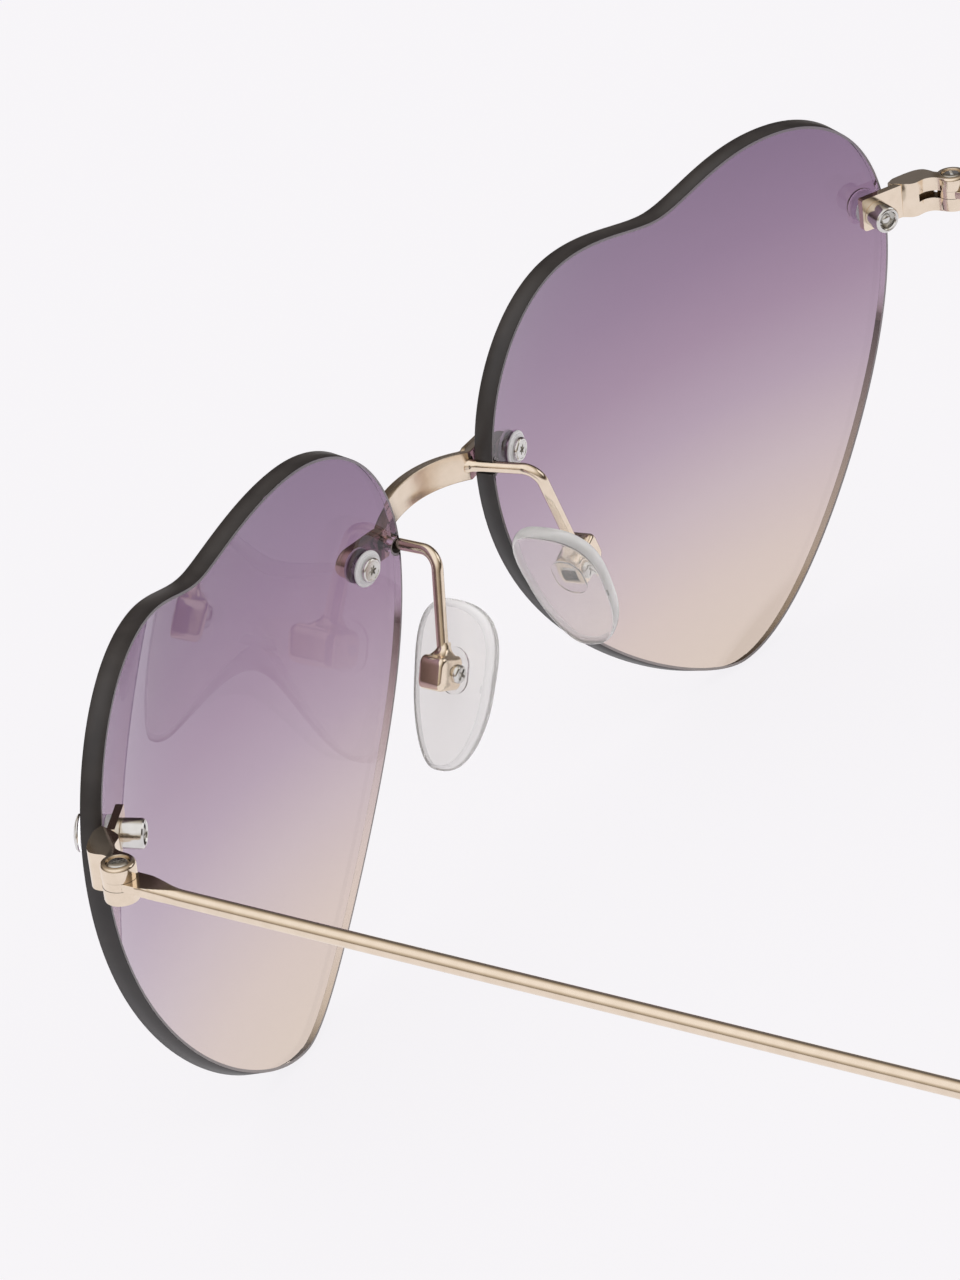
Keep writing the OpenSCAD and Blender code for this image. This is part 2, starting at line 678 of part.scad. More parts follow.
module end_screw() {
    head_back = -end_washer_t;
    shank_end = plate_rear + nut_l - nut_mouth_depth / 2;
    color([0.78, 0.77, 0.74]) on_place(end_place) {
        y_cylinder(end_screw_d, head_back - end_head_h / 2, shank_end);
        y_cylinder(end_head_d, head_back - end_head_h, head_back);
    }
}

module end_washer() {
    color([0.9, 0.9, 0.92, 0.7]) on_place(end_place) difference() {
        y_cylinder(end_head_d, -end_washer_t, 0);
        y_cylinder(end_screw_d + 2 * fixed_gap, -end_washer_t - over, over);
    }
}

module end_spacer() {
    color([0.9, 0.9, 0.92, 0.7]) on_place(end_place) difference() {
        y_cylinder(end_spacer_d, spacer_seat, plate_front);
        y_cylinder(end_screw_d + 2 * fixed_gap, lens_t - over, plate_front + over);
    }
}

module end_nut() {
    color([0.78, 0.77, 0.74]) on_place(end_place) difference() {
        y_cylinder(nut_d, plate_rear, plate_rear + nut_l);
        y_cylinder(end_screw_d + 2 * fixed_gap, plate_rear - over, plate_rear + nut_l);
        y_cylinder(nut_mouth_d, plate_rear + nut_l - nut_mouth_depth, plate_rear + nut_l + over);
    }
}

module hinge_screw() {
    head_top = hinge_top - hinge_head_sink;
    color([0.78, 0.77, 0.74]) difference() {
        translate([hinge.x, hinge.y, 0]) {
            translate([0, 0, hinge_bottom])
                cylinder(d = hinge_screw_d, h = head_top - hinge_head_h / 2 - hinge_bottom);
            translate([0, 0, head_top - hinge_head_h]) cylinder(d = hinge_head_d, h = hinge_head_h);
        }
        translate([hinge.x, hinge.y - driver_w / 2, head_top - driver_depth])
            translate([-hinge_head_d, 0, 0]) cube([2 * hinge_head_d, driver_w, driver_depth + over]);
    }
}

// The flat leaf turns on the hinge screw and runs out into the round wire
module temple_leaf() {
    neck_end = leaf_l + neck_l;
    neck_end_half = temple_d / 3;
    difference() {
        union() {
            translate([0, 0, -leaf_t / 2]) cylinder(d = hinge_d - 2 * hinge_gap, h = leaf_t);
            intersection() {
                translate([0, 0, -temple_d]) linear_extrude(2 * temple_d) polygon([
                    [-leaf_w / 2, 0], [leaf_w / 2, 0], [leaf_w / 2, leaf_l],
                    [neck_end_half, neck_end], [-neck_end_half, neck_end], [-leaf_w / 2, leaf_l]
                ]);
                x_extrude(-leaf_w, leaf_w) polygon([
                    [0, -leaf_t / 2], [leaf_l, -leaf_t / 2],
                    [neck_end, temple_z - hinge.z - neck_end_half],
                    [neck_end, temple_z - hinge.z + neck_end_half],
                    [leaf_l, leaf_t / 2], [0, leaf_t / 2]
                ]);
            }
        }
        translate([0, 0, -leaf_t]) cylinder(d = hinge_screw_d + 2 * turning_gap, h = 2 * leaf_t);
    }
}

module temple() {
    // The cone into the wire is slimmer than the wire, which starts inside it
    wire_start = [hinge.x, hinge.y + leaf_l + neck_l / 2 - run_overlap, temple_z];
    wire_end = tip_centre - (sleeve_plug - sleeve_d / 2) * ear_way;
    color([0.85, 0.77, 0.64]) {
        translate(hinge) temple_leaf();
        translate([hinge.x, hinge.y + leaf_l, temple_z]) rotate([-90, 0, 0])
            cylinder(d1 = temple_d / 2, d2 = temple_d - 4 * run_slack, h = neck_l / 2);
        bent_wire(wire_start, ear_corner, wire_end, ear_radius, temple_d);
    }
}

// The thick end of the sleeve as a turned profile, from just inside the ear bend
module sleeve_profile() {
    slim_r = sleeve_slim_d / 2 - run_slack;
    intersection() {
        union() {
            polygon([
                [0, 0], [slim_r, 0], [slim_r, 2 * run_overlap], [sleeve_d / 2, sleeve_taper_l],
                [sleeve_d / 2, sleeve_run], [0, sleeve_run]
            ]);
            translate([0, sleeve_run]) circle(d = sleeve_d);
        }
        square([sleeve_d, sleeve_run + sleeve_d]);
    }
}

module temple_tip() {
    bore_d = temple_d + 2 * fixed_gap;
    bore_l = sleeve_run - sleeve_plug + sleeve_d / 2 + fixed_gap;
    lead = [ear_corner.x, ear_corner.y - ear_bend_l - sleeve_lead, temple_z];
    bend_end = ear_corner + (ear_bend_l - run_overlap) * ear_way;
    color([0.9, 0.88, 0.9, 0.7]) {
        bent_wire(lead, ear_corner, bend_end + 2 * run_overlap * ear_way, ear_radius, sleeve_slim_d, bore_d);
        aim(bend_end, tip_centre) difference() {
            rotate_extrude() sleeve_profile();
            translate([0, 0, -over]) cylinder(d = bore_d + 2 * run_slack, h = bore_l + over);
        }
    }
}

on_left() lens();  // left_lens
on_right() lens();  // right_lens
on_left() bridge();
on_left() bridge_screw();  // left_bridge_screw
on_right() bridge_screw();  // right_bridge_screw
on_left() bridge_bush();  // left_bridge_bush
on_right() bridge_bush();  // right_bridge_bush
on_left() bridge_washer();  // left_bridge_washer
on_right() bridge_washer();  // right_bridge_washer
on_left() pad_arm();  // left_pad_arm
on_right() pad_arm();  // right_pad_arm
on_left() pad_screw();  // left_pad_screw
on_right() pad_screw();  // right_pad_screw
on_left() pad_core();  // left_pad_core
on_right() pad_core();  // right_pad_core
on_left() nose_pad();  // left_nose_pad
on_right() nose_pad();  // right_nose_pad
on_left() endpiece();  // left_endpiece
on_right() endpiece();  // right_endpiece
on_left() end_screw();  // left_end_screw
on_right() end_screw();  // right_end_screw
on_left() end_washer();  // left_end_washer
on_right() end_washer();  // right_end_washer
on_left() end_spacer();  // left_end_spacer
on_right() end_spacer();  // right_end_spacer
on_left() end_nut();  // left_end_nut
on_right() end_nut();  // right_end_nut
on_left() hinge_screw();  // left_hinge_screw
on_right() hinge_screw();  // right_hinge_screw
on_left() temple();  // left_temple
on_right() temple();  // right_temple
on_left() temple_tip();  // left_temple_tip
on_right() temple_tip();  // right_temple_tip
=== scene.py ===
"""Rimless sunglasses with two heart shaped lenses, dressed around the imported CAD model.

Most shapes are written in millimetres, seen from the point between the two lens centres: X to the
wearer's left, Y to the rear along the open temples and Z up. Each side part is written for the
wearer's left, and mirrored for the right.
"""

import math

import bpy
import numpy as np
from mathutils import Matrix, Vector
from mathutils.geometry import delaunay_2d_cdt

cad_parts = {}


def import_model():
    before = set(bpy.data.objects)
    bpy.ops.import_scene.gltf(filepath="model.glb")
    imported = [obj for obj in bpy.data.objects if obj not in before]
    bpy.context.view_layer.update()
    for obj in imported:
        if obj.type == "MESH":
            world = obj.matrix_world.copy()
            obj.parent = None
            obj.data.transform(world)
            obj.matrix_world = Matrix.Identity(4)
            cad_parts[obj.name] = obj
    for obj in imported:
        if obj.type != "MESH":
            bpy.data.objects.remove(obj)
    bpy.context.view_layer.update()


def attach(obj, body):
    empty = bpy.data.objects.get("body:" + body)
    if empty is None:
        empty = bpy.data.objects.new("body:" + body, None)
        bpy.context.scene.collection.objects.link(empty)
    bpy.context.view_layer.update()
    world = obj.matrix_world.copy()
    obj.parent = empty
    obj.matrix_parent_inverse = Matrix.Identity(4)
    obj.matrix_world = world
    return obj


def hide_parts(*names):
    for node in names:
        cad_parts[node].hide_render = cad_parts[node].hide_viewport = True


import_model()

# The point between the lens centres in the row frame, in millimetres
LENS_LEVEL = Vector((0, -69.6052, 27.4725))
MM = 0.001

# Lenses
LENS_OFFSET = 36.705
HEART_W = 59.8
HEART_H = 50.8
LENS_RADIUS = 96
LENS_T = 1.9
LENS_WRAP = 7.4
LENS_TILT = 3.6
FRONT_BEVEL = 0.03
REAR_BEVEL = 0.25
REAR_BEVEL_DEPTH = 0.07

# The dark skin round a lens, a sheet of painted shade: its thickness, and the depths at which it starts
# and ends
LENS_SKIN_GAP = 0.012
LENS_SKIN_START = 0.05
LENS_SKIN_DEPTH = 1.80

# How much the walls of a lens lean inwards with its curve, and how much wider its front outline is
LENS_LEAN = 0.75
LENS_WIDER = 0.44

# The notch sits at a share of the way from the knee to the corner of the pad arm
NOTCH_R = 0.72
NOTCH_SHARE = 0.18
BRIDGE_HOLE_R = 1.09
END_HOLE_R = 0.70

# How far the normals of a lens edge lean to the front on its bevels and on the rims of its skin
FRONT_BEVEL_LEAN = 1.0
REAR_BEVEL_LEAN = -3.0
LENS_CROWN = 0.55

# Spacing of the mesh points on a lens, and the room between them and its edges
GRID_PITCH = 1.3
GRID_ROOM = 0.7

# Places of the holes on the front surface of the left lens, from its centre
BRIDGE_PLACE = (-24.105, 7.92)
END_PLACE = (29.795, 10.067)

# Knee, where the bridge strap meets its lug and the pad arm, and the pad box
KNEE = Vector((7.8, 0.0056, 8.108))
ARM_CORNER = Vector((8.6, 6.805, 8.608))
PAD_AXIS = Vector((11.65, 8.205, -1.992))
PAD_TURNS = (4, -22.3, -6)

# Hinge, with the height and the diameter of its barrel
HINGE = Vector((71.017, 16.064, 10.79))
HINGE_H = 3.6
HINGE_D = 3.1

# Camera, in metres: its place, the way of its upper edge and the way that its back looks
CAMERA_PLACE = (0.452810, 0.262826, 0.323839)
CAMERA_UP = Vector((-0.451564, -0.180703, 0.873748))
CAMERA_BACK = Vector((0.712514, 0.516397, 0.475034))
FOCAL_LENGTH = 192.9


def in_scene(name, data):
    made = bpy.data.objects.new(name, data)
    bpy.context.scene.collection.objects.link(made)
    return made


def camera():
    """Looks down at the glasses from behind the wearer's left."""
    data = bpy.data.cameras.new("camera")
    data.sensor_fit = "AUTO"
    data.sensor_width = 36
    data.lens = FOCAL_LENGTH
    data.clip_start = 0.01
    made = in_scene("camera", data)
    looks = Matrix((CAMERA_UP.cross(CAMERA_BACK), CAMERA_UP, CAMERA_BACK)).transposed()
    made.matrix_world = Matrix.Translation(CAMERA_PLACE) @ looks.to_4x4()
    bpy.context.scene.camera = made


# Node materials

# How fine the variations are, in waves per metre, and how deep the hairlines are, in metres
METAL_CLOUDS = 900
PLASTIC_CLOUDS = 300
LENS_CLOUDS = 260
SKIN_CLOUDS = 400
HAIRLINES = 14000
HAIRLINE_STRETCH = (1, 0.08, 1)
HAIRLINE_DEPTH = 0.00001

# Painted glow that the washers under the front screw heads give off, standing in for the light that
# reaches them through the lens
PAINTED_GLOW_COLOUR = (0.85, 0.84, 0.87, 1)


def feed(tree, target, inputs):
    """Gives each input of a node its constant, or links it to the output of another node."""
    for name, value in inputs.items():
        if isinstance(value, bpy.types.NodeSocket):
            tree.links.new(value, target.inputs[name])
        else:
            target.inputs[name].default_value = value


def node(tree, kind, inputs, **settings):
    made = tree.nodes.new("ShaderNode" + kind)
    for name, value in settings.items():
        setattr(made, name, value)
    feed(tree, made, inputs)
    return made


def material(name):
    made = bpy.data.materials.new(name)
    made.use_nodes = True
    tree = made.node_tree
    tree.nodes.clear()
    shader = node(tree, "BsdfPrincipled", {})
    node(tree, "OutputMaterial", {"Surface": shader.outputs["BSDF"]})
    return made, tree, shader


def object_place(tree, scale=(1, 1, 1)):
    """The place on the object in metres, stretched by a scale along each axis."""
    place = node(tree, "TexCoord", {}).outputs["Object"]
    return node(tree, "Mapping", {"Vector": place, "Scale": scale}).outputs["Vector"]


def noise(tree, place, scale, detail=3.0):
    return node(tree, "TexNoise", {"Vector": place, "Scale": scale, "Detail": detail}).outputs["Fac"]


def ramp(tree, factor, stops):
    """A colour ramp; stops are (position, (red, green, blue))."""
    made = node(tree, "ValToRGB", {"Fac": factor})
    elements = made.color_ramp.elements
    while len(elements) < len(stops):
        elements.new(0.5)
    for element, (position, colour) in zip(elements, stops):
        element.position = position
        element.color = (*colour, 1)
    return made.outputs["Color"]


def ranged(tree, value, low, high):
    """A value from 0 to 1, taken to the range from low to high."""
    return node(tree, "MapRange", {"Value": value, "To Min": low, "To Max": high}).outputs["Result"]


def clouded(tree, shader, scale, dark, light, least_rough, most_rough):
    """Soft clouds in the colour and in the roughness."""
    clouds = noise(tree, object_place(tree), scale)
    feed(tree, shader, {
        "Base Color": ramp(tree, clouds, [(0.3, dark), (0.7, light)]),
        "Roughness": ranged(tree, clouds, least_rough, most_rough),
    })


def metal(name, dark, light, least_rough, most_rough, scratch):
    """Plated or bare metal with cloudy polish and fine hairlines."""
    made, tree, shader = material(name)
    clouded(tree, shader, METAL_CLOUDS, dark, light, least_rough, most_rough)
    hairlines = noise(tree, object_place(tree, HAIRLINE_STRETCH), HAIRLINES, 2)
    bump = node(tree, "Bump", {"Height": hairlines, "Strength": scratch, "Distance": HAIRLINE_DEPTH})
    feed(tree, shader, {"Metallic": 1, "Normal": bump.outputs["Normal"]})
    return made


def clear(name, dark, light, least_rough, most_rough, ior, transmission=1.0, glow=0.0):
    """Clear plastic or rubber, with a faint variation in its tint and its gloss."""
    made, tree, shader = material(name)
    clouded(tree, shader, PLASTIC_CLOUDS, dark, light, least_rough, most_rough)
    feed(tree, shader, {"Transmission Weight": transmission, "IOR": ior})
    # A glow is painted light: the piece is no lamp
    if glow > 0:
        feed(tree, shader, {"Emission Color": PAINTED_GLOW_COLOUR, "Emission Strength": glow})
    return made


# Tint of one lens surface, from the lower edge to the top of the lens
TINT_STOPS = [
    (0.00, (0.780, 0.665, 0.555)),
    (0.16, (0.724, 0.608, 0.548)),
    (0.32, (0.612, 0.508, 0.528)),
    (0.48, (0.474, 0.366, 0.448)),
    (0.64, (0.370, 0.258, 0.358)),
    (0.80, (0.292, 0.194, 0.298)),
    (1.00, (0.222, 0.142, 0.240)),
]
BEVEL_STOPS = [(0.0, (0.25, 0.22, 0.22)), (1.0, (0.19, 0.17, 0.19))]
TINT_TOP = 0.050


def tinted(name, stops, transmission, least_rough, most_rough):
    """Lens plastic, whose colour changes from the lower edge to the top."""
    made, tree, shader = material(name)
    place = object_place(tree)
    parts = node(tree, "SeparateXYZ", {"Vector": place})
    height = node(tree, "MapRange", {"Value": parts.outputs["Z"], "From Max": TINT_TOP})
    feed(tree, shader, {
        "Base Color": ramp(tree, height.outputs["Result"], stops),
        "Roughness": ranged(tree, noise(tree, place, LENS_CLOUDS), least_rough, most_rough),
        "Transmission Weight": transmission,
        "IOR": 1.5,
        "Specular IOR Level": 1.0,
    })
    return made


def painted_edge_shade(name, dark, light, least_rough, most_rough):
    """A dull dark material for the skin round a lens: painted shade for the darkness that the tinted
    plastic shows at its edge walls.
    """
    made, tree, shader = material(name)
    clouded(tree, shader, SKIN_CLOUDS, dark, light, least_rough, most_rough)
    return made


GOLD = metal("pale_gold", (0.81, 0.69, 0.55), (0.87, 0.75, 0.61), 0.11, 0.17, 0.05)
# A darker copy of the gold for the faces inside the hinge fork: painted shade
GOLD_PAINTED_SHADE = metal("gold_painted_shade", (0.22, 0.16, 0.10), (0.30, 0.22, 0.15), 0.30, 0.40, 0.05)
STEEL = metal("polished_steel", (0.66, 0.65, 0.62), (0.74, 0.73, 0.71), 0.12, 0.20, 0.06)
TINT = tinted("lens_tint", TINT_STOPS, 1.0, 0.0, 0.012)
TINT_BEVEL = tinted("lens_bevel", BEVEL_STOPS, 0.3, 0.30, 0.40)
# Painted shade for the dark edge walls of a lens
EDGE_PAINTED_SHADE = painted_edge_shade("edge_painted_shade", (0.022, 0.019, 0.019), (0.034, 0.029, 0.028), 0.38, 0.50)
CLEAR = clear("clear_plastic", (0.93, 0.93, 0.96), (0.98, 0.98, 1.0), 0.08, 0.14, 1.40, 0.2)
# The washers under the front screw heads glow with painted light
WASHER_PAINTED_GLOW = clear("washer", (0.86, 0.86, 0.88), (0.92, 0.92, 0.93), 0.20, 0.30, 1.40, 0.2, glow=0.55)
SILICONE = clear("silicone", (0.98, 0.965, 0.95), (1.0, 0.985, 0.97), 0.05, 0.09, 1.38, 0.85)
# A whiter, less clear copy of the silicone for the pad rims: painted highlight
SILICONE_RIM_HIGHLIGHT = clear("silicone_rim_highlight", (0.98, 0.98, 0.98), (1.0, 1.0, 1.0), 0.10, 0.22, 1.25, 0.55)
CORE = clear("pad_core", (0.95, 0.94, 0.93), (0.98, 0.98, 0.98), 0.04, 0.08, 1.12)
TIP_PLASTIC = clear("tip_plastic", (0.90, 0.88, 0.90), (0.95, 0.94, 0.95), 0.02, 0.06, 1.49)


# Places and turns


def moved(x, y, z):
    return Matrix.Translation((x, y, z))


def turned(axis, angle):
    return Matrix.Rotation(math.radians(angle), 4, axis)


ON_LENS = moved(LENS_OFFSET, 0, 0) @ turned("X", LENS_TILT) @ turned("Z", LENS_WRAP)


def on_place(place):
    """From the frame of a place on the front surface, with Y along the normal to the rear."""
    lean = -math.degrees(math.asin(place[1] / LENS_RADIUS))
    swing = math.degrees(math.asin(place[0] / (LENS_RADIUS * math.cos(math.radians(lean)))))
    there = turned("Z", swing) @ turned("X", lean)
    return ON_LENS @ moved(0, LENS_RADIUS, 0) @ there @ moved(0, -LENS_RADIUS, 0)


ON_BRIDGE_PLACE = on_place(BRIDGE_PLACE)
ON_END_PLACE = on_place(END_PLACE)
ON_PAD_AXIS = moved(*PAD_AXIS)
for axis_name, degrees in zip("ZYX", reversed(PAD_TURNS)):
    ON_PAD_AXIS = ON_PAD_AXIS @ turned(axis_name, degrees)
ON_HINGE = moved(*HINGE)
ON_HINGE_PIN = ON_HINGE @ turned("X", 90)


# Shapes: each is a list of points and a list of faces


def placed(shape, matrix):
    points, faces = shape
    return [matrix @ Vector(p) for p in points], faces


def full_turn(sides):
    return [2 * math.pi * i / sides for i in range(sides)]


def lofted(rings, caps=True):
    """Closed rings of equally many points, joined one after the other."""
    count = len(rings[0])
    points = [Vector(p) for ring in rings for p in ring]
    faces = []
    for r in range(len(rings) - 1):
        for i in range(count):
            j = (i + 1) % count
            faces.append([r * count + i, r * count + j, (r + 1) * count + j, (r + 1) * count + i])
    if caps:
        faces.append(list(reversed(range(count))))
        faces.append([(len(rings) - 1) * count + i for i in range(count)])
    return points, faces


def revolved(profile, sides, ring=False):
    """Turns (radius, y) points about Y. A ring's profile closes on itself, else both ends are capped."""
    angles = full_turn(sides)
    rings = [[(radius * math.sin(a), y, radius * math.cos(a)) for a in angles] for radius, y in profile]
    if ring:
        rings.append(rings[0])
        points, faces = lofted(rings, caps=False)
        last = (len(rings) - 1) * sides
        faces = [[i - last if i >= last else i for i in face] for face in faces]
        return points[:last], faces
    return lofted(rings)


def hinge_drum(radius, low, high, sides=64):
    return placed(revolved([(radius, low), (radius, high)], sides), ON_HINGE_PIN)


def oblong(left, low, right, high):
    return [(left, low), (right, low), (right, high), (left, high)]


def along_y(outline, start, end):
    """A flat outline of (x, z) points, drawn out from start to end along Y."""
    return lofted([[(x, y, z) for x, z in outline] for y in (start, end)])


def along_z(outline, start, end):
    return lofted([[(x, y, z) for x, y in outline] for z in (start, end)])


def rounded(outline, radii, steps=5):
    """Rounds the corners of a flat outline."""
    made = []
    count = len(outline)
    for i, corner in enumerate(outline):
        here = Vector(corner)
        before = (Vector(outline[i - 1]) - here).normalized()
        after = (Vector(outline[(i + 1) % count]) - here).normalized()
        radius = radii[i] if isinstance(radii, list) else radii
        if radius <= 0:
            made.append(tuple(here))
            continue
        start = here + before * radius
        end = here + after * radius
        for s in range(steps + 1):
            t = s / steps
            made.append(tuple((1 - t) ** 2 * start + 2 * t * (1 - t) * here + t * t * end))
    return made


def ways_along(path):
    last = len(path) - 1
    return [(path[min(i + 1, last)] - path[max(i - 1, 0)]).normalized() for i in range(last + 1)]


def runs_along(path):
    """How far each point of a path is from its start."""
    runs = [0.0]
    for here, there in zip(path, path[1:]):
        runs.append(runs[-1] + (there - here).length)
    return runs


def swept(path, sections):
    """Carries flat sections of (side, up) points along a path, one for each of its points."""
    up = Vector((0, 0, 1))
    rings = []
    for here, way, section in zip(path, ways_along(path), sections):
        up = (up - way * up.dot(way)).normalized()
        side = way.cross(up)
        rings.append([here + side * a + up * b for a, b in section])
    return lofted(rings)


def temple_rings(path, sections):
    """Rings round a path that stays in an upright plane along the temple, from (side, up) sections."""
    across = Vector((1, 0, 0))
    rings = []
    for here, way, section in zip(path, ways_along(path), sections):
        up = across.cross(way)
        rings.append([here + across * a + up * b for a, b in section])
    return rings


def round_section(radius, sides=32):
    return [(radius * math.cos(a), radius * math.sin(a)) for a in full_turn(sides)]


def squared(value, power):
    """A sine or cosine taken to a power, with its sign kept."""
    return math.copysign(abs(value) ** power, value)


def squared_round(half_a, half_b, power, sides=48):
    """An oval, squarer the more the power is below 1."""
    turn = full_turn(sides)
    return [(squared(math.cos(a), power) * half_a, squared(math.sin(a), power) * half_b) for a in turn]


def bend(start, corner, end, radius, steps=16):
    """Points from start to end by way of a corner rounded to a radius."""
    to_start = (start - corner).normalized()
    to_end = (end - corner).normalized()
    opening = to_start.angle(to_end)
    setback = radius / math.tan(opening / 2)
    centre = corner + (to_start + to_end).normalized() * radius / math.sin(opening / 2)
    first = corner + setback * to_start - centre
    last = corner + setback * to_end - centre
    sweep = math.pi - opening
    points = [start]
    for i in range(steps + 1):
        t = i / steps
        part = math.sin((1 - t) * sweep) * first + math.sin(t * sweep) * last
        points.append(centre + part / math.sin(sweep))
    points.append(end)
    return points


def with_steps(path, longest):
    """The same path with extra points, so that no stretch is longer than longest."""
    made = [path[0]]
    for here, there in zip(path, path[1:]):
        pieces = max(1, math.ceil((there - here).length / longest))
        made += [here.lerp(there, (i + 1) / pieces) for i in range(pieces)]
    return made


# Objects


def to_row(point, side):
    return Vector((side * point[0], point[1], point[2])) * MM + LENS_LEVEL * MM


def object_of(name, shape, side, materials):
    points, faces = shape
    mesh = bpy.data.meshes.new(name)
    if side < 0:
        faces = [list(reversed(face)) for face in faces]
    mesh.from_pydata([to_row(p, side) for p in points], [], faces)
    for one in materials:
        mesh.materials.append(one)
    mesh.validate()
    return in_scene(name, mesh)


def merged(target, cutter, operation):
    """Cuts the cutter out of the target, or joins it on, and removes the cutter."""
    change = target.modifiers.new("cut", "BOOLEAN")
    change.operation = operation
    change.solver = "EXACT"
    change.object = cutter
    bpy.context.view_layer.update()
    evaluated = target.evaluated_get(bpy.context.evaluated_depsgraph_get())
    result = bpy.data.meshes.new_from_object(evaluated)
    target.modifiers.clear()
    target.data = result
    bpy.data.objects.remove(cutter)


def cut(target, shape):
    merged(target, object_of("cutter", shape, 1, target.data.materials), "DIFFERENCE")


def add(target, shape):
    merged(target, object_of("addition", shape, 1, target.data.materials), "UNION")


def on_side(made, side):
    """Turns a piece written for the wearer's left into the one for the right."""
    if side < 0:
        made.data.transform(Matrix.Diagonal((-1, 1, 1, 1)))
        made.data.flip_normals()


def smooth(made, angle, bevel=0.0, segments=2):
    """Smooth faces with sharp edges above an angle, and a small bevel along those edges."""
    mesh = made.data
    mesh.polygons.foreach_set("use_smooth", [True] * len(mesh.polygons))
    mesh.set_sharp_from_angle(angle=math.radians(angle))
    if bevel > 0:
        rim = made.modifiers.new("bevel", "BEVEL")
        rim.width = bevel * MM
        rim.segments = segments
        rim.limit_method = "ANGLE"
        rim.angle_limit = math.radians(angle)
        rim.harden_normals = True
        rim.use_clamp_overlap = True


def finished(made, body, slot, *nodes):
    """Rides on its body and stands for its CAD nodes. Its slot is not used."""
    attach(made, body)
    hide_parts(*nodes)


SIDES = {"left": 1, "right": -1}


# Lenses

HEART = {
    "tip": (0.043, -0.547),
    "outer": (0.525, 0.146),
    "outer_lobe": (0.268, 0.453),
    "dip": (0.037, 0.398),
    "inner_lobe": (-0.224, 0.449),
    "inner": (-0.475, 0.150),
}
# Stretches of the heart: from, step to its handle, to, step to its handle
HEART_STRETCHES = [
    ("tip", (0.194, 0), "outer", (0, -0.335)),
    ("outer", (0, 0.150), "outer_lobe", (0.181, 0)),
    ("outer_lobe", (-0.100, 0), "dip", (0.064, 0)),
    ("dip", (-0.057, 0), "inner_lobe", (0.104, 0)),
    ("inner_lobe", (-0.144, 0), "inner", (0, 0.165)),
    ("inner", (0, -0.378), "tip", (-0.130, 0)),
]


def heart_outline(steps=44):
    size = np.array([HEART_W, HEART_H])
    made = []
    for start, start_step, end, end_step in HEART_STRETCHES:
        a = np.array(HEART[start]) * size
        b = a + np.array(start_step) * size
        d = np.array(HEART[end]) * size
        c = d + np.array(end_step) * size
        for i in range(steps):
            t = i / steps
            made.append((1 - t) ** 3 * a + 3 * (1 - t) ** 2 * t * b + 3 * (1 - t) * t * t * c + t**3 * d)
    return np.array(made)


def bitten(outline, centre, radius, steps=18):
    """The outline with a round notch in it, around centre."""
    away = np.linalg.norm(outline - centre, axis=1)
    inside = np.flatnonzero(away < radius)
    first, last = inside.min(), inside.max()
    ends = []
    for kept, lost in ((first - 1, first), ((last + 1) % len(outline), last)):
        a, b = outline[kept], outline[lost]
        low, high = 0.0, 1.0
        for _ in range(30):
            middle = (low + high) / 2
            if np.linalg.norm(a + (b - a) * middle - centre) > radius:
                low = middle
            else:
                high = middle
        ends.append(a + (b - a) * low)
    angles = [math.atan2(*(p - centre)[::-1]) for p in ends]
    middle = math.atan2(*(-centre)[::-1])
    spread = [(a - middle + math.pi) % (2 * math.pi) - math.pi for a in angles]
    arc = [middle + spread[0] + (spread[1] - spread[0]) * i / steps for i in range(steps + 1)]
    bite = [centre + radius * np.array([math.cos(a), math.sin(a)]) for a in arc]
    return np.vstack([outline[:first], bite, outline[last + 1:]])


def outline_normals(outline):
    """Unit normals that look out of an outline that runs anticlockwise."""
    along = np.roll(outline, -1, axis=0) - np.roll(outline, 1, axis=0)
    out = np.stack([along[:, 1], -along[:, 0]], axis=1)
    return out / np.linalg.norm(out, axis=1)[:, None]


def inside_outline(points, outline):
    x, y = points[:, 0][:, None], points[:, 1][:, None]
    ax, ay = outline[:, 0], outline[:, 1]
    bx, by = np.roll(ax, -1), np.roll(ay, -1)
    crosses = (ay > y) != (by > y)
    with np.errstate(divide="ignore", invalid="ignore"):
        at = ax + (y - ay) * (bx - ax) / (by - ay)
    return (crosses & (x < at)).sum(axis=1) % 2 == 1


def place_of(point):
    """A point in the frame of the glasses as a place on the lens, seen along its optical axis."""
    local = ON_LENS.inverted() @ Vector(point)
    return np.array([local.x, local.z])


def lens_hole(place, radius, sides=48):
    """A round hole square to the lens at a place, as an outline that runs clockwise."""
    there = on_place(place)
    rim = [Vector((radius * math.cos(a), 0, -radius * math.sin(a))) for a in full_turn(sides)]
    return np.array([place_of(there @ p) for p in rim])


def filled(loops):
    """Triangles inside the first loop and outside the others, on a grid of points between them."""
    across = np.arange(-HEART_W / 2 - 2, HEART_W / 2 + 3, GRID_PITCH)
    grid = np.array([(x, y) for x in across for y in across])
    grid = grid[inside_outline(grid, loops[0])]
    edges = []
    start = 0
    for loop in loops:
        gaps = np.linalg.norm(grid[:, None] - loop[None], axis=2).min(axis=1)
        grid = grid[gaps > GRID_ROOM]
        edges += [(start + i, start + (i + 1) % len(loop)) for i in range(len(loop))]
        start += len(loop)
    for hole in loops[1:]:
        grid = grid[~inside_outline(grid, hole)]
    flat = np.vstack([*loops, grid])
    made = delaunay_2d_cdt([Vector(p) for p in flat], edges, [], 1, 1e-7)
    flat = np.array([tuple(p) for p in made[0]])
    triangles = np.array(made[2])
    middles = flat[triangles].mean(axis=1)
    keep = inside_outline(middles, loops[0])
    for hole in loops[1:]:
        keep &= ~inside_outline(middles, hole)
    return flat, triangles[keep]


def at_depth(places, depth):
    """Places on the lens as points at a depth under its front surface."""
    share = 1 - LENS_LEAN * depth / LENS_RADIUS
    reach = np.sqrt((LENS_RADIUS - depth) ** 2 - (places**2).sum(axis=1) * share**2)
    return [Vector((x * share, LENS_RADIUS - r, y * share)) for (x, y), r in zip(places, reach)]


def to_front(point):
    """The normal of the lens's curve at a point."""
    return (point - Vector((0, LENS_RADIUS, 0))).normalized()


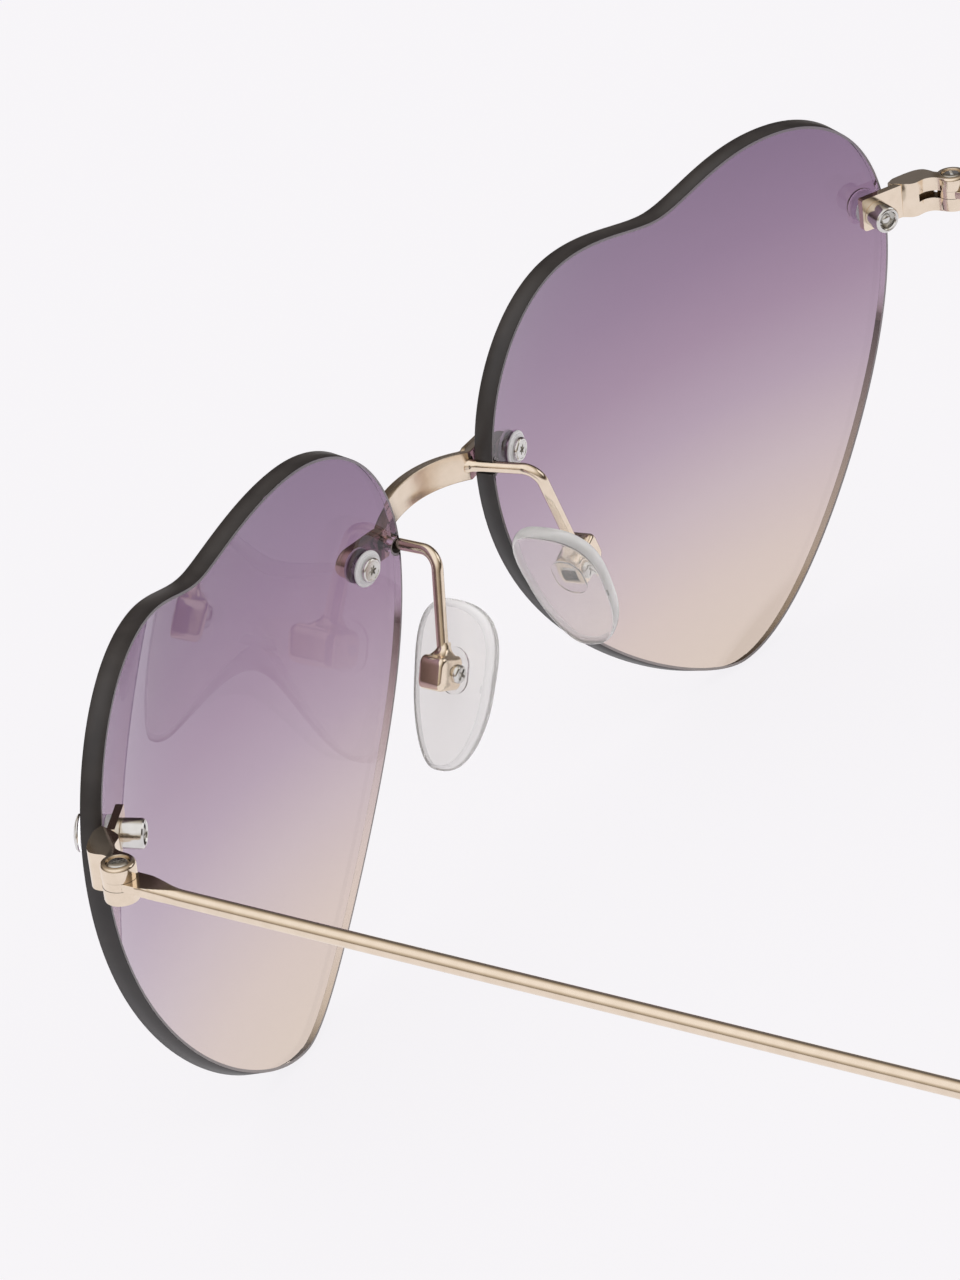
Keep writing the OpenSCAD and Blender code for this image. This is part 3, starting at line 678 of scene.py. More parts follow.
def lens(name, side):
    """A tinted lens with dull bevels from grinding. Its outer edge carries a thin dark skin of painted
    shade, for the dark look of its edge walls.
    """
    heart = heart_outline()
    heart[:, 0] *= 1 + LENS_WIDER / HEART_W
    loops = [
        bitten(heart, place_of(KNEE.lerp(ARM_CORNER, NOTCH_SHARE)), NOTCH_R),
        lens_hole(BRIDGE_PLACE, BRIDGE_HOLE_R),
        lens_hole(END_PLACE, END_HOLE_R),
    ]
    normals = [outline_normals(loop) for loop in loops]
    flat, triangles = filled([loop - FRONT_BEVEL * normal for loop, normal in zip(loops, normals)])
    rear_flat = flat.copy()
    rim = np.vstack([loop - REAR_BEVEL * normal for loop, normal in zip(loops, normals)])
    rear_flat[: len(rim)] = rim

    points = []
    faces = []
    face_normals = []
    materials = []

    def add_points(places, depth):
        start = len(points)
        points.extend(at_depth(places, depth))
        return start

    front = add_points(flat, 0)
    rear = add_points(rear_flat, LENS_T)
    for a, b, c in triangles:
        for start, corners, sign in ((front, (a, b, c), 1), (rear, (c, b, a), -1)):
            faces.append([start + i for i in corners])
            face_normals.append([sign * to_front(points[start + i]) for i in corners])
            materials.append(0)
    first = 0
    for loop, normal in zip(loops, normals):
        count = len(loop)
        wall_front = add_points(loop, FRONT_BEVEL)
        wall_rear = add_points(loop, LENS_T - REAR_BEVEL_DEPTH)
        outward = []
        for i in range(count):
            straight = Vector((normal[i][0], 0, normal[i][1]))
            wall = (points[wall_front + i] - points[wall_rear + i]).normalized()
            outward.append((straight - wall * straight.dot(wall)).normalized())
        # Each band: its rows of points, how far the normals lean on each row, and its material
        bands = [
            (front + first, wall_front, FRONT_BEVEL_LEAN, FRONT_BEVEL_LEAN, 0),
            (wall_front, wall_rear, 0, 0, 0),
            (wall_rear, rear + first, REAR_BEVEL_LEAN, REAR_BEVEL_LEAN, 1),
        ]
        if first == 0:
            # The skin is a dark sheet of painted shade just outside the outer wall
            skin = loop + LENS_SKIN_GAP * normal
            skin_rows = (add_points(skin, LENS_SKIN_START), add_points(skin, LENS_SKIN_DEPTH))
            bands.append((*skin_rows, LENS_CROWN, -LENS_CROWN, 2))
        for row, next_row, lean, next_lean, look in bands:
            for i in range(count):
                j = (i + 1) % count
                faces.append([row + j, row + i, next_row + i, next_row + j])
                corners = ((j, lean), (i, lean), (i, next_lean), (j, next_lean))
                face_normals.append([
                    (outward[k] + to_front(points[row + k]) * bow).normalized() for k, bow in corners
                ])
                materials.append(look)
        first += count
    made = object_of(name, placed((points, faces), ON_LENS), side, [TINT, TINT_BEVEL, EDGE_PAINTED_SHADE])
    turn = ON_LENS.to_3x3()
    mirror = Matrix.Diagonal((side, 1, 1))
    loop_normals = []
    for corners in face_normals:
        seen = [mirror @ (turn @ n) for n in corners]
        loop_normals += reversed(seen) if side < 0 else seen
    mesh = made.data
    mesh.polygons.foreach_set("material_index", materials)
    mesh.polygons.foreach_set("use_smooth", [True] * len(mesh.polygons))
    mesh.normals_split_custom_set(loop_normals)
    finished(made, "front", "lens_tint", name)


# Bridge

BRIDGE_H = 2.96
BACK_T = 0.5
FRONT_T = 0.9
STEP = 0.22
STRAP_ROUND = 0.38
BOW_RADIUS = 20.4
ARCH_RADIUS = 38
LUG_BACK_T = 0.8
LUG_FRONT_T = 0.5
LUG_STEP = 0.03
LUG_ROUND = 0.3
LUG_RISE = 1.8
WASHER_T = 0.35
LUG_LENGTH = (ON_BRIDGE_PLACE @ Vector((0, 0, 0))).x - KNEE.x


def stepped_section(back, front, step, soft):
    """A section of the bridge: a flat layer to the rear and a narrower one in front of it."""
    half = BRIDGE_H / 2
    deep = back + front
    corners = [
        (0, -half), (back, -half), (back, step - half), (deep, step - half),
        (deep, half - step), (back, half - step), (back, half), (0, half),
    ]
    return rounded(corners, [0.12, 0.09, 0.02, soft, soft, 0.02, 0.09, 0.12])


def bridge():
    """The strap bows out to the front and arches upwards. Each end is a flat lug with a round tip."""
    bow_y = KNEE.y + math.sqrt(BOW_RADIUS**2 - KNEE.x**2)
    arch_z = KNEE.z - math.sqrt(ARCH_RADIUS**2 - KNEE.x**2)
    reach = math.degrees(math.asin(KNEE.x / BOW_RADIUS))
    strap = stepped_section(BACK_T, FRONT_T, STEP, STRAP_ROUND)
    lug_section = stepped_section(LUG_BACK_T, LUG_FRONT_T, LUG_STEP, LUG_ROUND)
    half = []
    steps = 28
    for i in range(steps + 1):
        angle = math.radians(reach) * i / steps
        ring = []
        for deep, up in strap:
            radius = BOW_RADIUS + deep
            x = radius * math.sin(angle)
            z = arch_z + math.sqrt(ARCH_RADIUS**2 - min(x, KNEE.x) ** 2) + up
            ring.append(Vector((x, bow_y - radius * math.cos(angle), z)))
        half.append(ring)
    lug_frame = ON_BRIDGE_PLACE @ turned("Y", LUG_RISE)

    def lug_ring(x, share=1.0):
        return [lug_frame @ Vector((x, -WASHER_T - deep, up * share)) for deep, up in lug_section]

    half[-1] = [p.lerp(lug_point, 0.5) for p, lug_point in zip(half[-1], lug_ring(-LUG_LENGTH))]
    half.append(lug_ring(-LUG_LENGTH + 0.6))
    half.append(lug_ring(-LUG_LENGTH / 2))
    tip_steps = 15
    for i in range(tip_steps):
        angle = math.pi / 2 * i / tip_steps
        half.append(lug_ring(BRIDGE_H / 2 * math.sin(angle), math.cos(angle)))
    mirrored = [[Vector((-p.x, p.y, p.z)) for p in ring] for ring in half[:0:-1]]
    made = object_of("bridge", lofted(mirrored + half), 1, [GOLD])
    smooth(made, 40)
    finished(made, "front", "gold_metal", "bridge")


# Pad arms with their boxes

ARM_R = 0.55
ARM_BEND = 1.8
ARM_END_X = 0.2
ARM_START = 0.35
ARM_SINK = 0.3
SOLDER = 0.22
SOLDER_LENGTH = 0.95
BOX_INNER = 1.33
BOX_OUTER = 2.15
BOX_MIDDLE = (BOX_OUTER - BOX_INNER) / 2
BOX_HALF_W = (BOX_INNER + BOX_OUTER) / 2
BOX_DEPTH = 2.7
BOX_H = 3.2
BOX_CORNER = 0.8
BOX_SOFT = 0.45
BOX_FALL = 0.27
FLARE_H = 1.15
FLARE_SINK = 0.14
FLARE_CURVE = 2.4
FLARE_STEPS = 14


def pad_box():
    """The box at the end of a pad arm, open towards the pad."""
    top = BOX_H / 2
    # The side towards the pad falls back above and below its middle, so that the pad can rock
    fallen = -BOX_INNER + BOX_FALL
    corners = [*oblong(fallen, -top, BOX_OUTER, top), (-BOX_INNER, 0.3), (-BOX_INNER, -0.3)]
    outline = rounded(corners, [0.55, BOX_CORNER, BOX_CORNER, 0.55, 0.25, 0.25], 8)
    profile = []
    for i in range(5):
        angle = math.pi / 2 * i / 4
        inset = BOX_SOFT * (1 - math.sin(angle))
        profile.append((inset, -BOX_DEPTH / 2 + BOX_SOFT * (1 - math.cos(angle))))
    profile += [(inset, -y) for inset, y in reversed(profile)]
    rings = []
    for inset, y in reversed(profile):
        wide = (BOX_HALF_W - inset) / BOX_HALF_W
        tall = (top - inset) / top
        rings.append([(BOX_MIDDLE + (x - BOX_MIDDLE) * wide, y, z * tall) for x, z in outline])
    box = object_of("box", placed(lofted(rings), ON_PAD_AXIS), 1, [GOLD])
    cut(box, placed(along_y(oblong(-3, -0.95, BOX_OUTER - 0.4, 0.95), 0.8, -0.8), ON_PAD_AXIS))
    return box


def flare():
    """The foot of the wire, which widens towards the top of the box."""
    rings = []
    for i in range(FLARE_STEPS + 1):
        share = (1 - i / FLARE_STEPS) ** FLARE_CURVE
        half_x = ARM_R + 0.03 + (BOX_HALF_W - 0.42 - ARM_R) * share
        half_y = ARM_R + 0.03 + (BOX_DEPTH / 2 - 0.3 - ARM_R) * share
        x = ARM_END_X + (BOX_MIDDLE - ARM_END_X) * share
        z = BOX_H / 2 - FLARE_SINK + (FLARE_H + FLARE_SINK) * i / FLARE_STEPS
        rings.append([(x + a, b, z) for a, b in squared_round(half_x, half_y, 1 - 0.45 * share)])
    return placed(lofted(rings), ON_PAD_AXIS)


def pad_arm(name, side):
    """A bent wire, soldered to the back of the bridge, with a box for the pad's tongue."""
    start = KNEE - (ARM_CORNER - KNEE).normalized() * ARM_START
    end = ON_PAD_AXIS @ Vector((ARM_END_X, 0, BOX_H / 2 - ARM_SINK))
    path = with_steps(bend(start, ARM_CORNER, end, ARM_BEND), 0.2)
    sections = []
    for run in runs_along(path):
        solder = SOLDER * max(0.0, 1 - run / SOLDER_LENGTH) ** 2
        sections.append(round_section(ARM_R + solder))
    made = object_of(name, swept(path, sections), 1, [GOLD])
    add(made, flare())
    merged(made, pad_box(), "UNION")
    on_side(made, side)
    smooth(made, 40, 0.05)
    finished(made, "front", "gold_metal", name)


# Screws, bushes, washers and nuts, turned about the screw's axis

SCREW_R = 0.7
BUSH_SEAT = 1.916
BRIDGE_HEAD = 2.296
SPACER_SEAT = 1.914
PLATE_FRONT = 2.564
PLATE_REAR = 3.264
NUT_END = 5.264
PAD_FACE = -1.4
PAD_SCREW_X = -0.35
BRIDGE_BORE = 0.72
END_BORE = 0.62


def star(radius):
    """The reach of a six pointed driver recess."""
    return lambda angle: radius * (0.76 + 0.24 * math.cos(6 * angle))


def cross(long, half):
    """The reach of a recess with four arms."""

    def reach(angle):
        wide, narrow = sorted((abs(math.cos(angle)), abs(math.sin(angle))), reverse=True)
        return min(long / wide, half / max(narrow, 1e-6))

    return reach


def straight(long, half):
    """The reach of a single slot."""
    return lambda angle: min(
        long / max(abs(math.cos(angle)), 1e-6), half / max(abs(math.sin(angle)), 1e-6)
    )


def headed(profile, reach, depth, spin=0.0, sides=120):
    """A turned piece about Y, with a driver recess in its last face, turned by spin radians."""
    top = profile[-1][1]
    angles = full_turn(sides)
    inner = [(reach(a) * math.cos(a + spin), reach(a) * math.sin(a + spin)) for a in angles]
    rings = [[(x * 0.85, top - depth, z * 0.85) for x, z in inner], [(x, top, z) for x, z in inner]]
    for radius, y in reversed(profile):
        rings.append([(radius * math.cos(a + spin), y, radius * math.sin(a + spin)) for a in angles])
    return lofted(rings)


def fixing(name, shape, frame_of, side, its_material, slot, bevel):
    made = object_of(name, placed(shape, frame_of), side, [its_material])
    smooth(made, 28, bevel)
    finished(made, "front", slot, name)


def ring_fixing(name, profile, frame_of, side, its_material=CLEAR, slot="clear_plastic", bevel=0.03):
    """A turned piece with a hole right through it."""
    fixing(name, revolved(profile, 64, True), frame_of, side, its_material, slot, bevel)


def bridge_fixings(who, side):
    """A screw from the rear through a bush and the lens into the lug."""
    top = BRIDGE_HEAD + 0.45
    screw = [
        (0.55, -WASHER_T - 0.96), (SCREW_R, -WASHER_T - 0.8), (SCREW_R, BRIDGE_HEAD),
        (1.1, BRIDGE_HEAD), (1.16, BRIDGE_HEAD + 0.06), (1.16, BRIDGE_HEAD + 0.28),
        (1.11, BRIDGE_HEAD + 0.38), (1.02, top), (0.86, top), (0.82, top - 0.04), (0.62, top - 0.04),
    ]
    head = headed(screw, star(0.5), 0.3)
    fixing(who + "_bridge_screw", head, ON_BRIDGE_PLACE, side, STEEL, "steel", bevel=0.012)
    bush = [
        (BRIDGE_BORE, 0.04), (1.06, 0.04), (1.06, BUSH_SEAT), (1.66, BUSH_SEAT),
        (1.75, BUSH_SEAT + 0.08), (1.75, BUSH_SEAT + 0.2), (1.68, BUSH_SEAT + 0.28),
        (1.47, BUSH_SEAT + 0.28),
        (1.45, BRIDGE_HEAD - 0.03), (1.4, BRIDGE_HEAD), (BRIDGE_BORE, BRIDGE_HEAD),
    ]
    ring_fixing(who + "_bridge_bush", bush, ON_BRIDGE_PLACE, side)
    washer = [
        (BRIDGE_BORE, -WASHER_T), (1.64, -WASHER_T), (1.7, -WASHER_T + 0.06),
        (1.7, -0.06), (1.64, 0), (BRIDGE_BORE, 0),
    ]
    ring_fixing(who + "_bridge_washer", washer, ON_BRIDGE_PLACE, side)


def end_fixings(who, side):
    """A screw through the lens and the endpiece, with a nut behind them."""
    screw = [
        (0.2, -0.77), (0.75, -0.75), (1.2, -0.69), (1.5, -0.58), (1.65, -0.44), (1.675, -0.33),
        (1.62, -0.25), (0.6, -0.25), (0.6, NUT_END - 0.75), (0.58, NUT_END - 0.55),
        (0.5, NUT_END - 0.38), (0.36, NUT_END - 0.26), (0.18, NUT_END - 0.2),
    ]
    fixing(who + "_end_screw", revolved(screw, 64), ON_END_PLACE, side, STEEL, "steel", bevel=0.0)
    washer = [
        (END_BORE, -0.25), (1.6, -0.25), (1.66, -0.2), (1.66, -0.07), (1.6, -0.02), (END_BORE, -0.02),
    ]
    # This washer glows with painted light
    ring_fixing(who + "_end_washer", washer, ON_END_PLACE, side, WASHER_PAINTED_GLOW)
    spacer = [
        (END_BORE, SPACER_SEAT), (1.54, SPACER_SEAT), (1.6, SPACER_SEAT + 0.06),
        (1.6, PLATE_FRONT - 0.06), (1.54, PLATE_FRONT), (END_BORE, PLATE_FRONT),
    ]
    ring_fixing(who + "_end_spacer", spacer, ON_END_PLACE, side)
    nut = [
        (END_BORE, PLATE_REAR), (1.3, PLATE_REAR), (1.35, PLATE_REAR + 0.06), (1.35, NUT_END - 0.34),
        (1.31, NUT_END - 0.16), (1.2, NUT_END - 0.04), (1.08, NUT_END), (0.98, NUT_END - 0.03),
        (0.9, NUT_END - 0.14), (0.88, NUT_END - 0.7), (END_BORE, NUT_END - 0.7),
    ]
    ring_fixing(who + "_end_nut", nut, ON_END_PLACE, side, STEEL, "steel", bevel=0.0)


def hinge_screw(who, side):
    screw = [
        (0.6, -1.8), (SCREW_R, -1.7), (SCREW_R, 1.3), (1.04, 1.3), (1.05, 1.4), (1.0, 1.53),
        (0.9, 1.63), (0.78, 1.7), (0.66, 1.74),
    ]
    head = headed(screw, straight(0.6, 0.13), 0.24, 0.7)
    fixing(who + "_hinge_screw", head, ON_HINGE_PIN, side, STEEL, "steel", bevel=0.012)


def pad_screw(who, side):
    wall = BOX_DEPTH / 2
    screw = [
        (0.5, -wall), (0.5, wall), (0.84, wall), (0.88, wall + 0.07), (0.87, wall + 0.22),
        (0.8, wall + 0.38), (0.7, wall + 0.46), (0.58, wall + 0.5),
    ]
    head = headed(screw, cross(0.56, 0.13), 0.26, 0.5)
    seat = ON_PAD_AXIS @ moved(PAD_SCREW_X, 0, 0)
    fixing(who + "_pad_screw", head, seat, side, STEEL, "steel", bevel=0.012)


# Nose pads with their cores

PAD_H = 15.9
PAD_REAR = 5.2
PAD_FRONT = 3.58
PAD_T = 1.6
PAD_DROP = 1.56
PAD_FORWARD = 1.15
PAD_SOFT = 0.62
PAD_SQUARE = 0.78
PAD_TOP_WIDER = 0.26
PAD_HOLLOW = 0.02
PAD_SHARES = (0.04, 0.25, 0.5, 0.72, 0.88, 0.96)
PAD_RIM_STEPS = 12
PAD_RIM_BANDS = range(8, 18)
CORE_R = 1.6


def pad_outline(inset, share, sides=112):
    """The pad's rounded egg, wider at its top and wider to the rear, as (y, z) points."""
    made = []
    for angle in full_turn(sides):
        c = math.cos(angle)
        s = math.sin(angle)
        reach = (PAD_REAR + PAD_FRONT) / 2 + (PAD_REAR - PAD_FRONT) / 2 * math.tanh(6 * c)
        y = (reach - inset) * squared(c, PAD_SQUARE) * (1 + PAD_TOP_WIDER * s)
        z = (PAD_H / 2 - inset) * squared(s, PAD_SQUARE)
        made.append((y * share, z * share))
    return made


def nose_pad(who, side):
    """A flat pad with a rounded rim; the rim takes a whiter, less clear copy of the silicone, a painted
    highlight.
    """
    sections = [(PAD_SOFT, share, PAD_FACE - PAD_HOLLOW * (1 - share**2)) for share in PAD_SHARES]
    for i in range(PAD_RIM_STEPS + 1):
        angle = math.pi * i / PAD_RIM_STEPS
        inset = PAD_SOFT * (1 - math.sin(angle) ** 0.8)
        sections.append((inset, 1.0, PAD_FACE - PAD_T / 2 + PAD_T / 2 * math.cos(angle)))
    for share in reversed(PAD_SHARES):
        sections.append((PAD_SOFT, share, PAD_FACE - PAD_T + PAD_HOLLOW * (1 - share**2)))
    rings = []
    for inset, share, x in reversed(sections):
        rings.append([(x, y - PAD_FORWARD, z - PAD_DROP) for y, z in pad_outline(inset, share)])
    shape = placed(lofted(rings), ON_PAD_AXIS)
    made = object_of(who + "_nose_pad", shape, side, [SILICONE, SILICONE_RIM_HIGHLIGHT])
    # The rim bands take the painted highlight
    bands = [int(band in PAD_RIM_BANDS) for band in range(len(rings) - 1)]
    materials = [look for look in bands for _ in rings[0]]
    made.data.polygons.foreach_set("material_index", [0, *materials, 0])
    smooth(made, 60)
    finished(made, who + "_pad", "silicone", who + "_nose_pad")


def pad_core(who, side):
    """An oblong plate in the pad, with a neck and a tongue that reaches into the pad box."""
    outline = []
    for sign in (1, -1):
        for i in range(25):
            angle = math.pi * i / 24
            outline.append((sign * CORE_R * math.cos(angle), sign * (0.6 + CORE_R * math.sin(angle))))
    depths = [(-0.55, 0.93), (-0.47, 1.0), (-0.1, 1.0), (-0.05, 0.97)]
    plate = lofted([[(PAD_FACE + x, y * share, z * share) for y, z in outline] for x, share in depths])
    neck_outline = rounded(oblong(-0.7, -0.5, 0.7, 0.5), 0.12, 4)
    neck = lofted([[(x, y, z) for y, z in neck_outline] for x in (PAD_FACE - 0.2, 0.2)])
    tongue = revolved([(0.74, -0.7), (0.8, -0.64), (0.8, 0.64), (0.74, 0.7)], 40)
    made = object_of(who + "_pad_core", placed(plate, ON_PAD_AXIS), 1, [CORE])
    add(made, placed(neck, ON_PAD_AXIS))
    add(made, placed(tongue, ON_PAD_AXIS))
    on_side(made, side)
    smooth(made, 40)
    finished(made, who + "_pad", "clear_plastic", who + "_pad_core")


# Endpieces

# Plan of the shoulder, from the crease round its front, past the hinge and back along its rear face
SHOULDER = [
    (66.70, 11.30), (67.80, 11.21), (69.33, 11.80), (70.35, 12.35), (70.82, 12.95), (70.80, 13.70),
    (70.62, 14.30), (70.90, 15.20), (71.20, 16.50), (70.48, 17.05), (69.62, 16.45), (69.56, 15.35),
    (69.40, 14.72), (68.86, 14.20), (67.75, 13.90), (67.35, 13.56), (66.98, 12.6),
]
SHOULDER_ROUNDS = [
    0.1, 0.3, 0.4, 0.35, 0.3, 0.3, 0.3, 0.2, 0.2, 0.3, 0.35, 0.3, 0.3, 0.3, 0.25, 0.2, 0.1,
]

# The gap for the temple's leaf, and the turn of its slot, which runs from the hinge to the crease
LEAF_GAP = 0.405
LEAF_GAP_R = 1.9
SLOT_MARGIN = 0.017
SLOT_TURN = math.degrees(math.atan2(3.4, 4.2))


def endpiece(who, side):
    """A plate behind the lens that runs round the corner to a barrel, forked for the temple's leaf."""
    outline = rounded(oblong(-1.6, -1.5, 3.05, 2.0), [0.5, 0.1, 0.1, 0.22], 6)
    plate = placed(along_y(outline, PLATE_REAR, PLATE_FRONT), ON_END_PLACE)
    made = object_of(who + "_endpiece", plate, 1, [GOLD])
    plan = rounded(SHOULDER, SHOULDER_ROUNDS, 4)
    add(made, along_z(plan, HINGE.z - HINGE_H / 2 + 0.013, HINGE.z + HINGE_H / 2 - 0.013))
    wall = HINGE_D / 2
    top = HINGE_H / 2
    barrel = [
        (wall - 0.2, -top), (wall - 0.06, -top + 0.06), (wall, -top + 0.2), (wall, top - 0.3),
        (wall - 0.04, top - 0.16), (wall - 0.13, top - 0.05), (wall - 0.27, top),
    ]
    add(made, placed(revolved(barrel, 64), ON_HINGE_PIN))
    cut(made, hinge_drum(LEAF_GAP_R, -LEAF_GAP, LEAF_GAP))
    slot = along_z(oblong(-3.6, -0.95, 0.1, 3.1), SLOT_MARGIN - LEAF_GAP, LEAF_GAP - SLOT_MARGIN)
    cut(made, placed(slot, ON_HINGE @ turned("Z", SLOT_TURN)))
    cut(made, hinge_drum(1.07, 1.3, 3, 48))
    # The faces inside the fork get a darker, rougher copy of the gold: painted shade for the brown that
    # they show where they reflect one another
    made.data.materials.append(GOLD_PAINTED_SHADE)
    middle_z = HINGE.z + LENS_LEVEL.z
    floor_z = (middle_z - LEAF_GAP - 0.01) * MM
    roof_z = (middle_z + LEAF_GAP + 0.01) * MM
    for face in made.data.polygons:
        heights = [made.data.vertices[v].co.z for v in face.vertices]
        if min(heights) > floor_z and max(heights) < roof_z:
            face.material_index = 1
    on_side(made, side)
    smooth(made, 30, 0.09, 3)
    finished(made, "front", "gold_metal", who + "_endpiece")


# Temples and their tips

TEMPLE_R = 0.75
LEAF_HALF = 0.375
LEAF_HALF_W = 1.2
LEAF_HALF_H = 0.95
LEAF_START = 0.4
LEAF_LENGTH = 6.4
EYE_R = 1.52
PIN_R = 0.73
WIRE_Z = HINGE.z + LEAF_HALF - TEMPLE_R
EAR_R = 15
EAR_DROP = math.radians(50)
STRAIGHT_END = HINGE.y + 87
EAR_CORNER = Vector((HINGE.x, STRAIGHT_END + EAR_R * math.tan(EAR_DROP / 2), WIRE_Z))
EAR_WAY = Vector((0, math.cos(EAR_DROP), -math.sin(EAR_DROP)))
TIP_CENTRE = Vector((HINGE.x, 140.255, -25.5725))
TIP_THIN_R = 1.45
TIP_R = 1.89
TIP_LEAD = 3


def eased(low, high, at):
    """From 0 at low to 1 at high, with soft ends."""
    t = min(max((at - low) / (high - low), 0.0), 1.0)
    return t * t * (3 - 2 * t)


def leaf_rings(sides, steps=60):
    """Rings from the flat leaf in the hinge to the round wire behind it."""
    rings = []
    for i in range(steps + 1):
        run = LEAF_START + LEAF_LENGTH * i / steps
        share = eased(1.6, 6.4, run)
        half_w = LEAF_HALF_W - (LEAF_HALF_W - TEMPLE_R) * eased(2.0, 5.6, run)
        half_h = LEAF_HALF_H - (LEAF_HALF_H - TEMPLE_R) * share
        low = -LEAF_HALF - 2 * LEAF_HALF * share
        here = HINGE + Vector((0, run, 0))
        ring = []
        for x, z in squared_round(half_w, half_h, 0.75 + 0.25 * share, sides):
            up = max(min(z - LEAF_HALF * share, LEAF_HALF), low)
            ring.append((here.x + x, here.y, here.z + up))
        rings.append(ring)
    return rings


def temple(who, side):
    """A wire with a leaf and an eye for the hinge at its front, bent down behind the ear."""
    sides = 48
    start = Vector((HINGE.x, HINGE.y + 6.9, WIRE_Z))
    wire = with_steps(bend(start, EAR_CORNER, TIP_CENTRE - EAR_WAY * 2.1, EAR_R, 40), 2.5)
    rings = leaf_rings(sides) + temple_rings(wire, [round_section(TEMPLE_R, sides)] * len(wire))
    made = object_of(who + "_temple", lofted(rings[::-1]), 1, [GOLD])
    add(made, hinge_drum(EYE_R, -LEAF_HALF, LEAF_HALF))
    cut(made, hinge_drum(PIN_R, -2, 2, 40))
    on_side(made, side)
    smooth(made, 24, 0.04)
    finished(made, who + "_side", "gold_metal", who + "_temple")


def temple_tip(who, side):
    """A plastic sleeve that starts before the ear bend and grows to a round end."""
    lead = EAR_CORNER - Vector((0, EAR_R * math.tan(EAR_DROP / 2) + TIP_LEAD, 0))
    path = with_steps(bend(lead, EAR_CORNER, TIP_CENTRE, EAR_R, 40), 0.8)
    bend_end = TIP_LEAD + EAR_DROP * EAR_R
    radii = []
    for run in runs_along(path):
        radii.append(TIP_THIN_R + (TIP_R - TIP_THIN_R) * eased(bend_end, bend_end + 12, run))
    radii[0] = TIP_THIN_R - 0.13
    radii.insert(1, TIP_THIN_R)
    path.insert(1, path[0].lerp(path[1], 0.2))
    for i in range(1, 9):
        angle = math.pi / 2 * i / 9
        path.append(TIP_CENTRE + EAR_WAY * TIP_R * math.sin(angle))
        radii.append(TIP_R * math.cos(angle))
    rings = temple_rings(path, [round_section(radius, 40) for radius in radii])
    made = object_of(who + "_temple_tip", lofted(rings[::-1]), side, [TIP_PLASTIC])
    smooth(made, 50)
    finished(made, who + "_side", "tip_plastic", who + "_temple_tip")


camera()
bridge()
for side_name, side in SIDES.items():
    lens(side_name + "_lens", side)
    pad_arm(side_name + "_pad_arm", side)
    bridge_fixings(side_name, side)
    end_fixings(side_name, side)
    hinge_screw(side_name, side)
    pad_screw(side_name, side)
    nose_pad(side_name, side)
    pad_core(side_name, side)
    endpiece(side_name, side)
    temple(side_name, side)
    temple_tip(side_name, side)


# Studio

# Reflected room, from the horizon upwards. It stays dark further up towards the wearer's right
ROOM_LEAN = 0.5
ROOM_STOPS = [
    (0.00, (0.070, 0.055, 0.045)),
    (0.20, (0.095, 0.078, 0.064)),
    (0.50, (0.380, 0.330, 0.270)),
    (0.72, (0.700, 0.640, 0.570)),
    (0.92, (1.020, 1.000, 1.000)),
]

# A small soft light in the reflected room: its direction, and the cosine at which it has faded out
WINDOW_WAY = (-0.84, -0.43, 0.33)
WINDOW_EDGE = 0.965
WINDOW_STRENGTH = 0.14
WINDOW_COLOUR = (0.82, 0.88, 1.0, 1)

STUDIO_WHITE = (0.936, 0.919, 0.944, 1)
DAYLIGHT = (1.0, 0.975, 0.94, 1)
DAYLIGHT_STRENGTH = 0.62

# How much of the floor's white is its own light, and the reflected floor by its distance in metres
FLOOR_GLOW = 0.93
FLOOR_COLOUR = (0.86, 0.845, 0.87, 1)
FLOOR_HALF = 6.0
FLOOR_STOPS = [
    (0.22, (0.92, 0.90, 0.93)),
    (0.55, (0.55, 0.50, 0.46)),
    (0.95, (0.20, 0.16, 0.13)),
]


def ray_kinds(tree, *kinds):
    """One for the kinds of ray that are named, else nothing."""
    path = node(tree, "LightPath", {}).outputs
    either = path[kinds[0]]
    for kind in kinds[1:]:
        either = node(tree, "Math", {0: either, 1: path[kind]}, operation="MAXIMUM").outputs[0]
    return either


def seen_directly(tree):
    return ray_kinds(tree, "Is Camera Ray", "Is Glossy Ray", "Is Transmission Ray")


def mixed(tree, share, first, second):
    return node(tree, "MixShader", {0: share, 1: first.outputs[0], 2: second.outputs[0]})


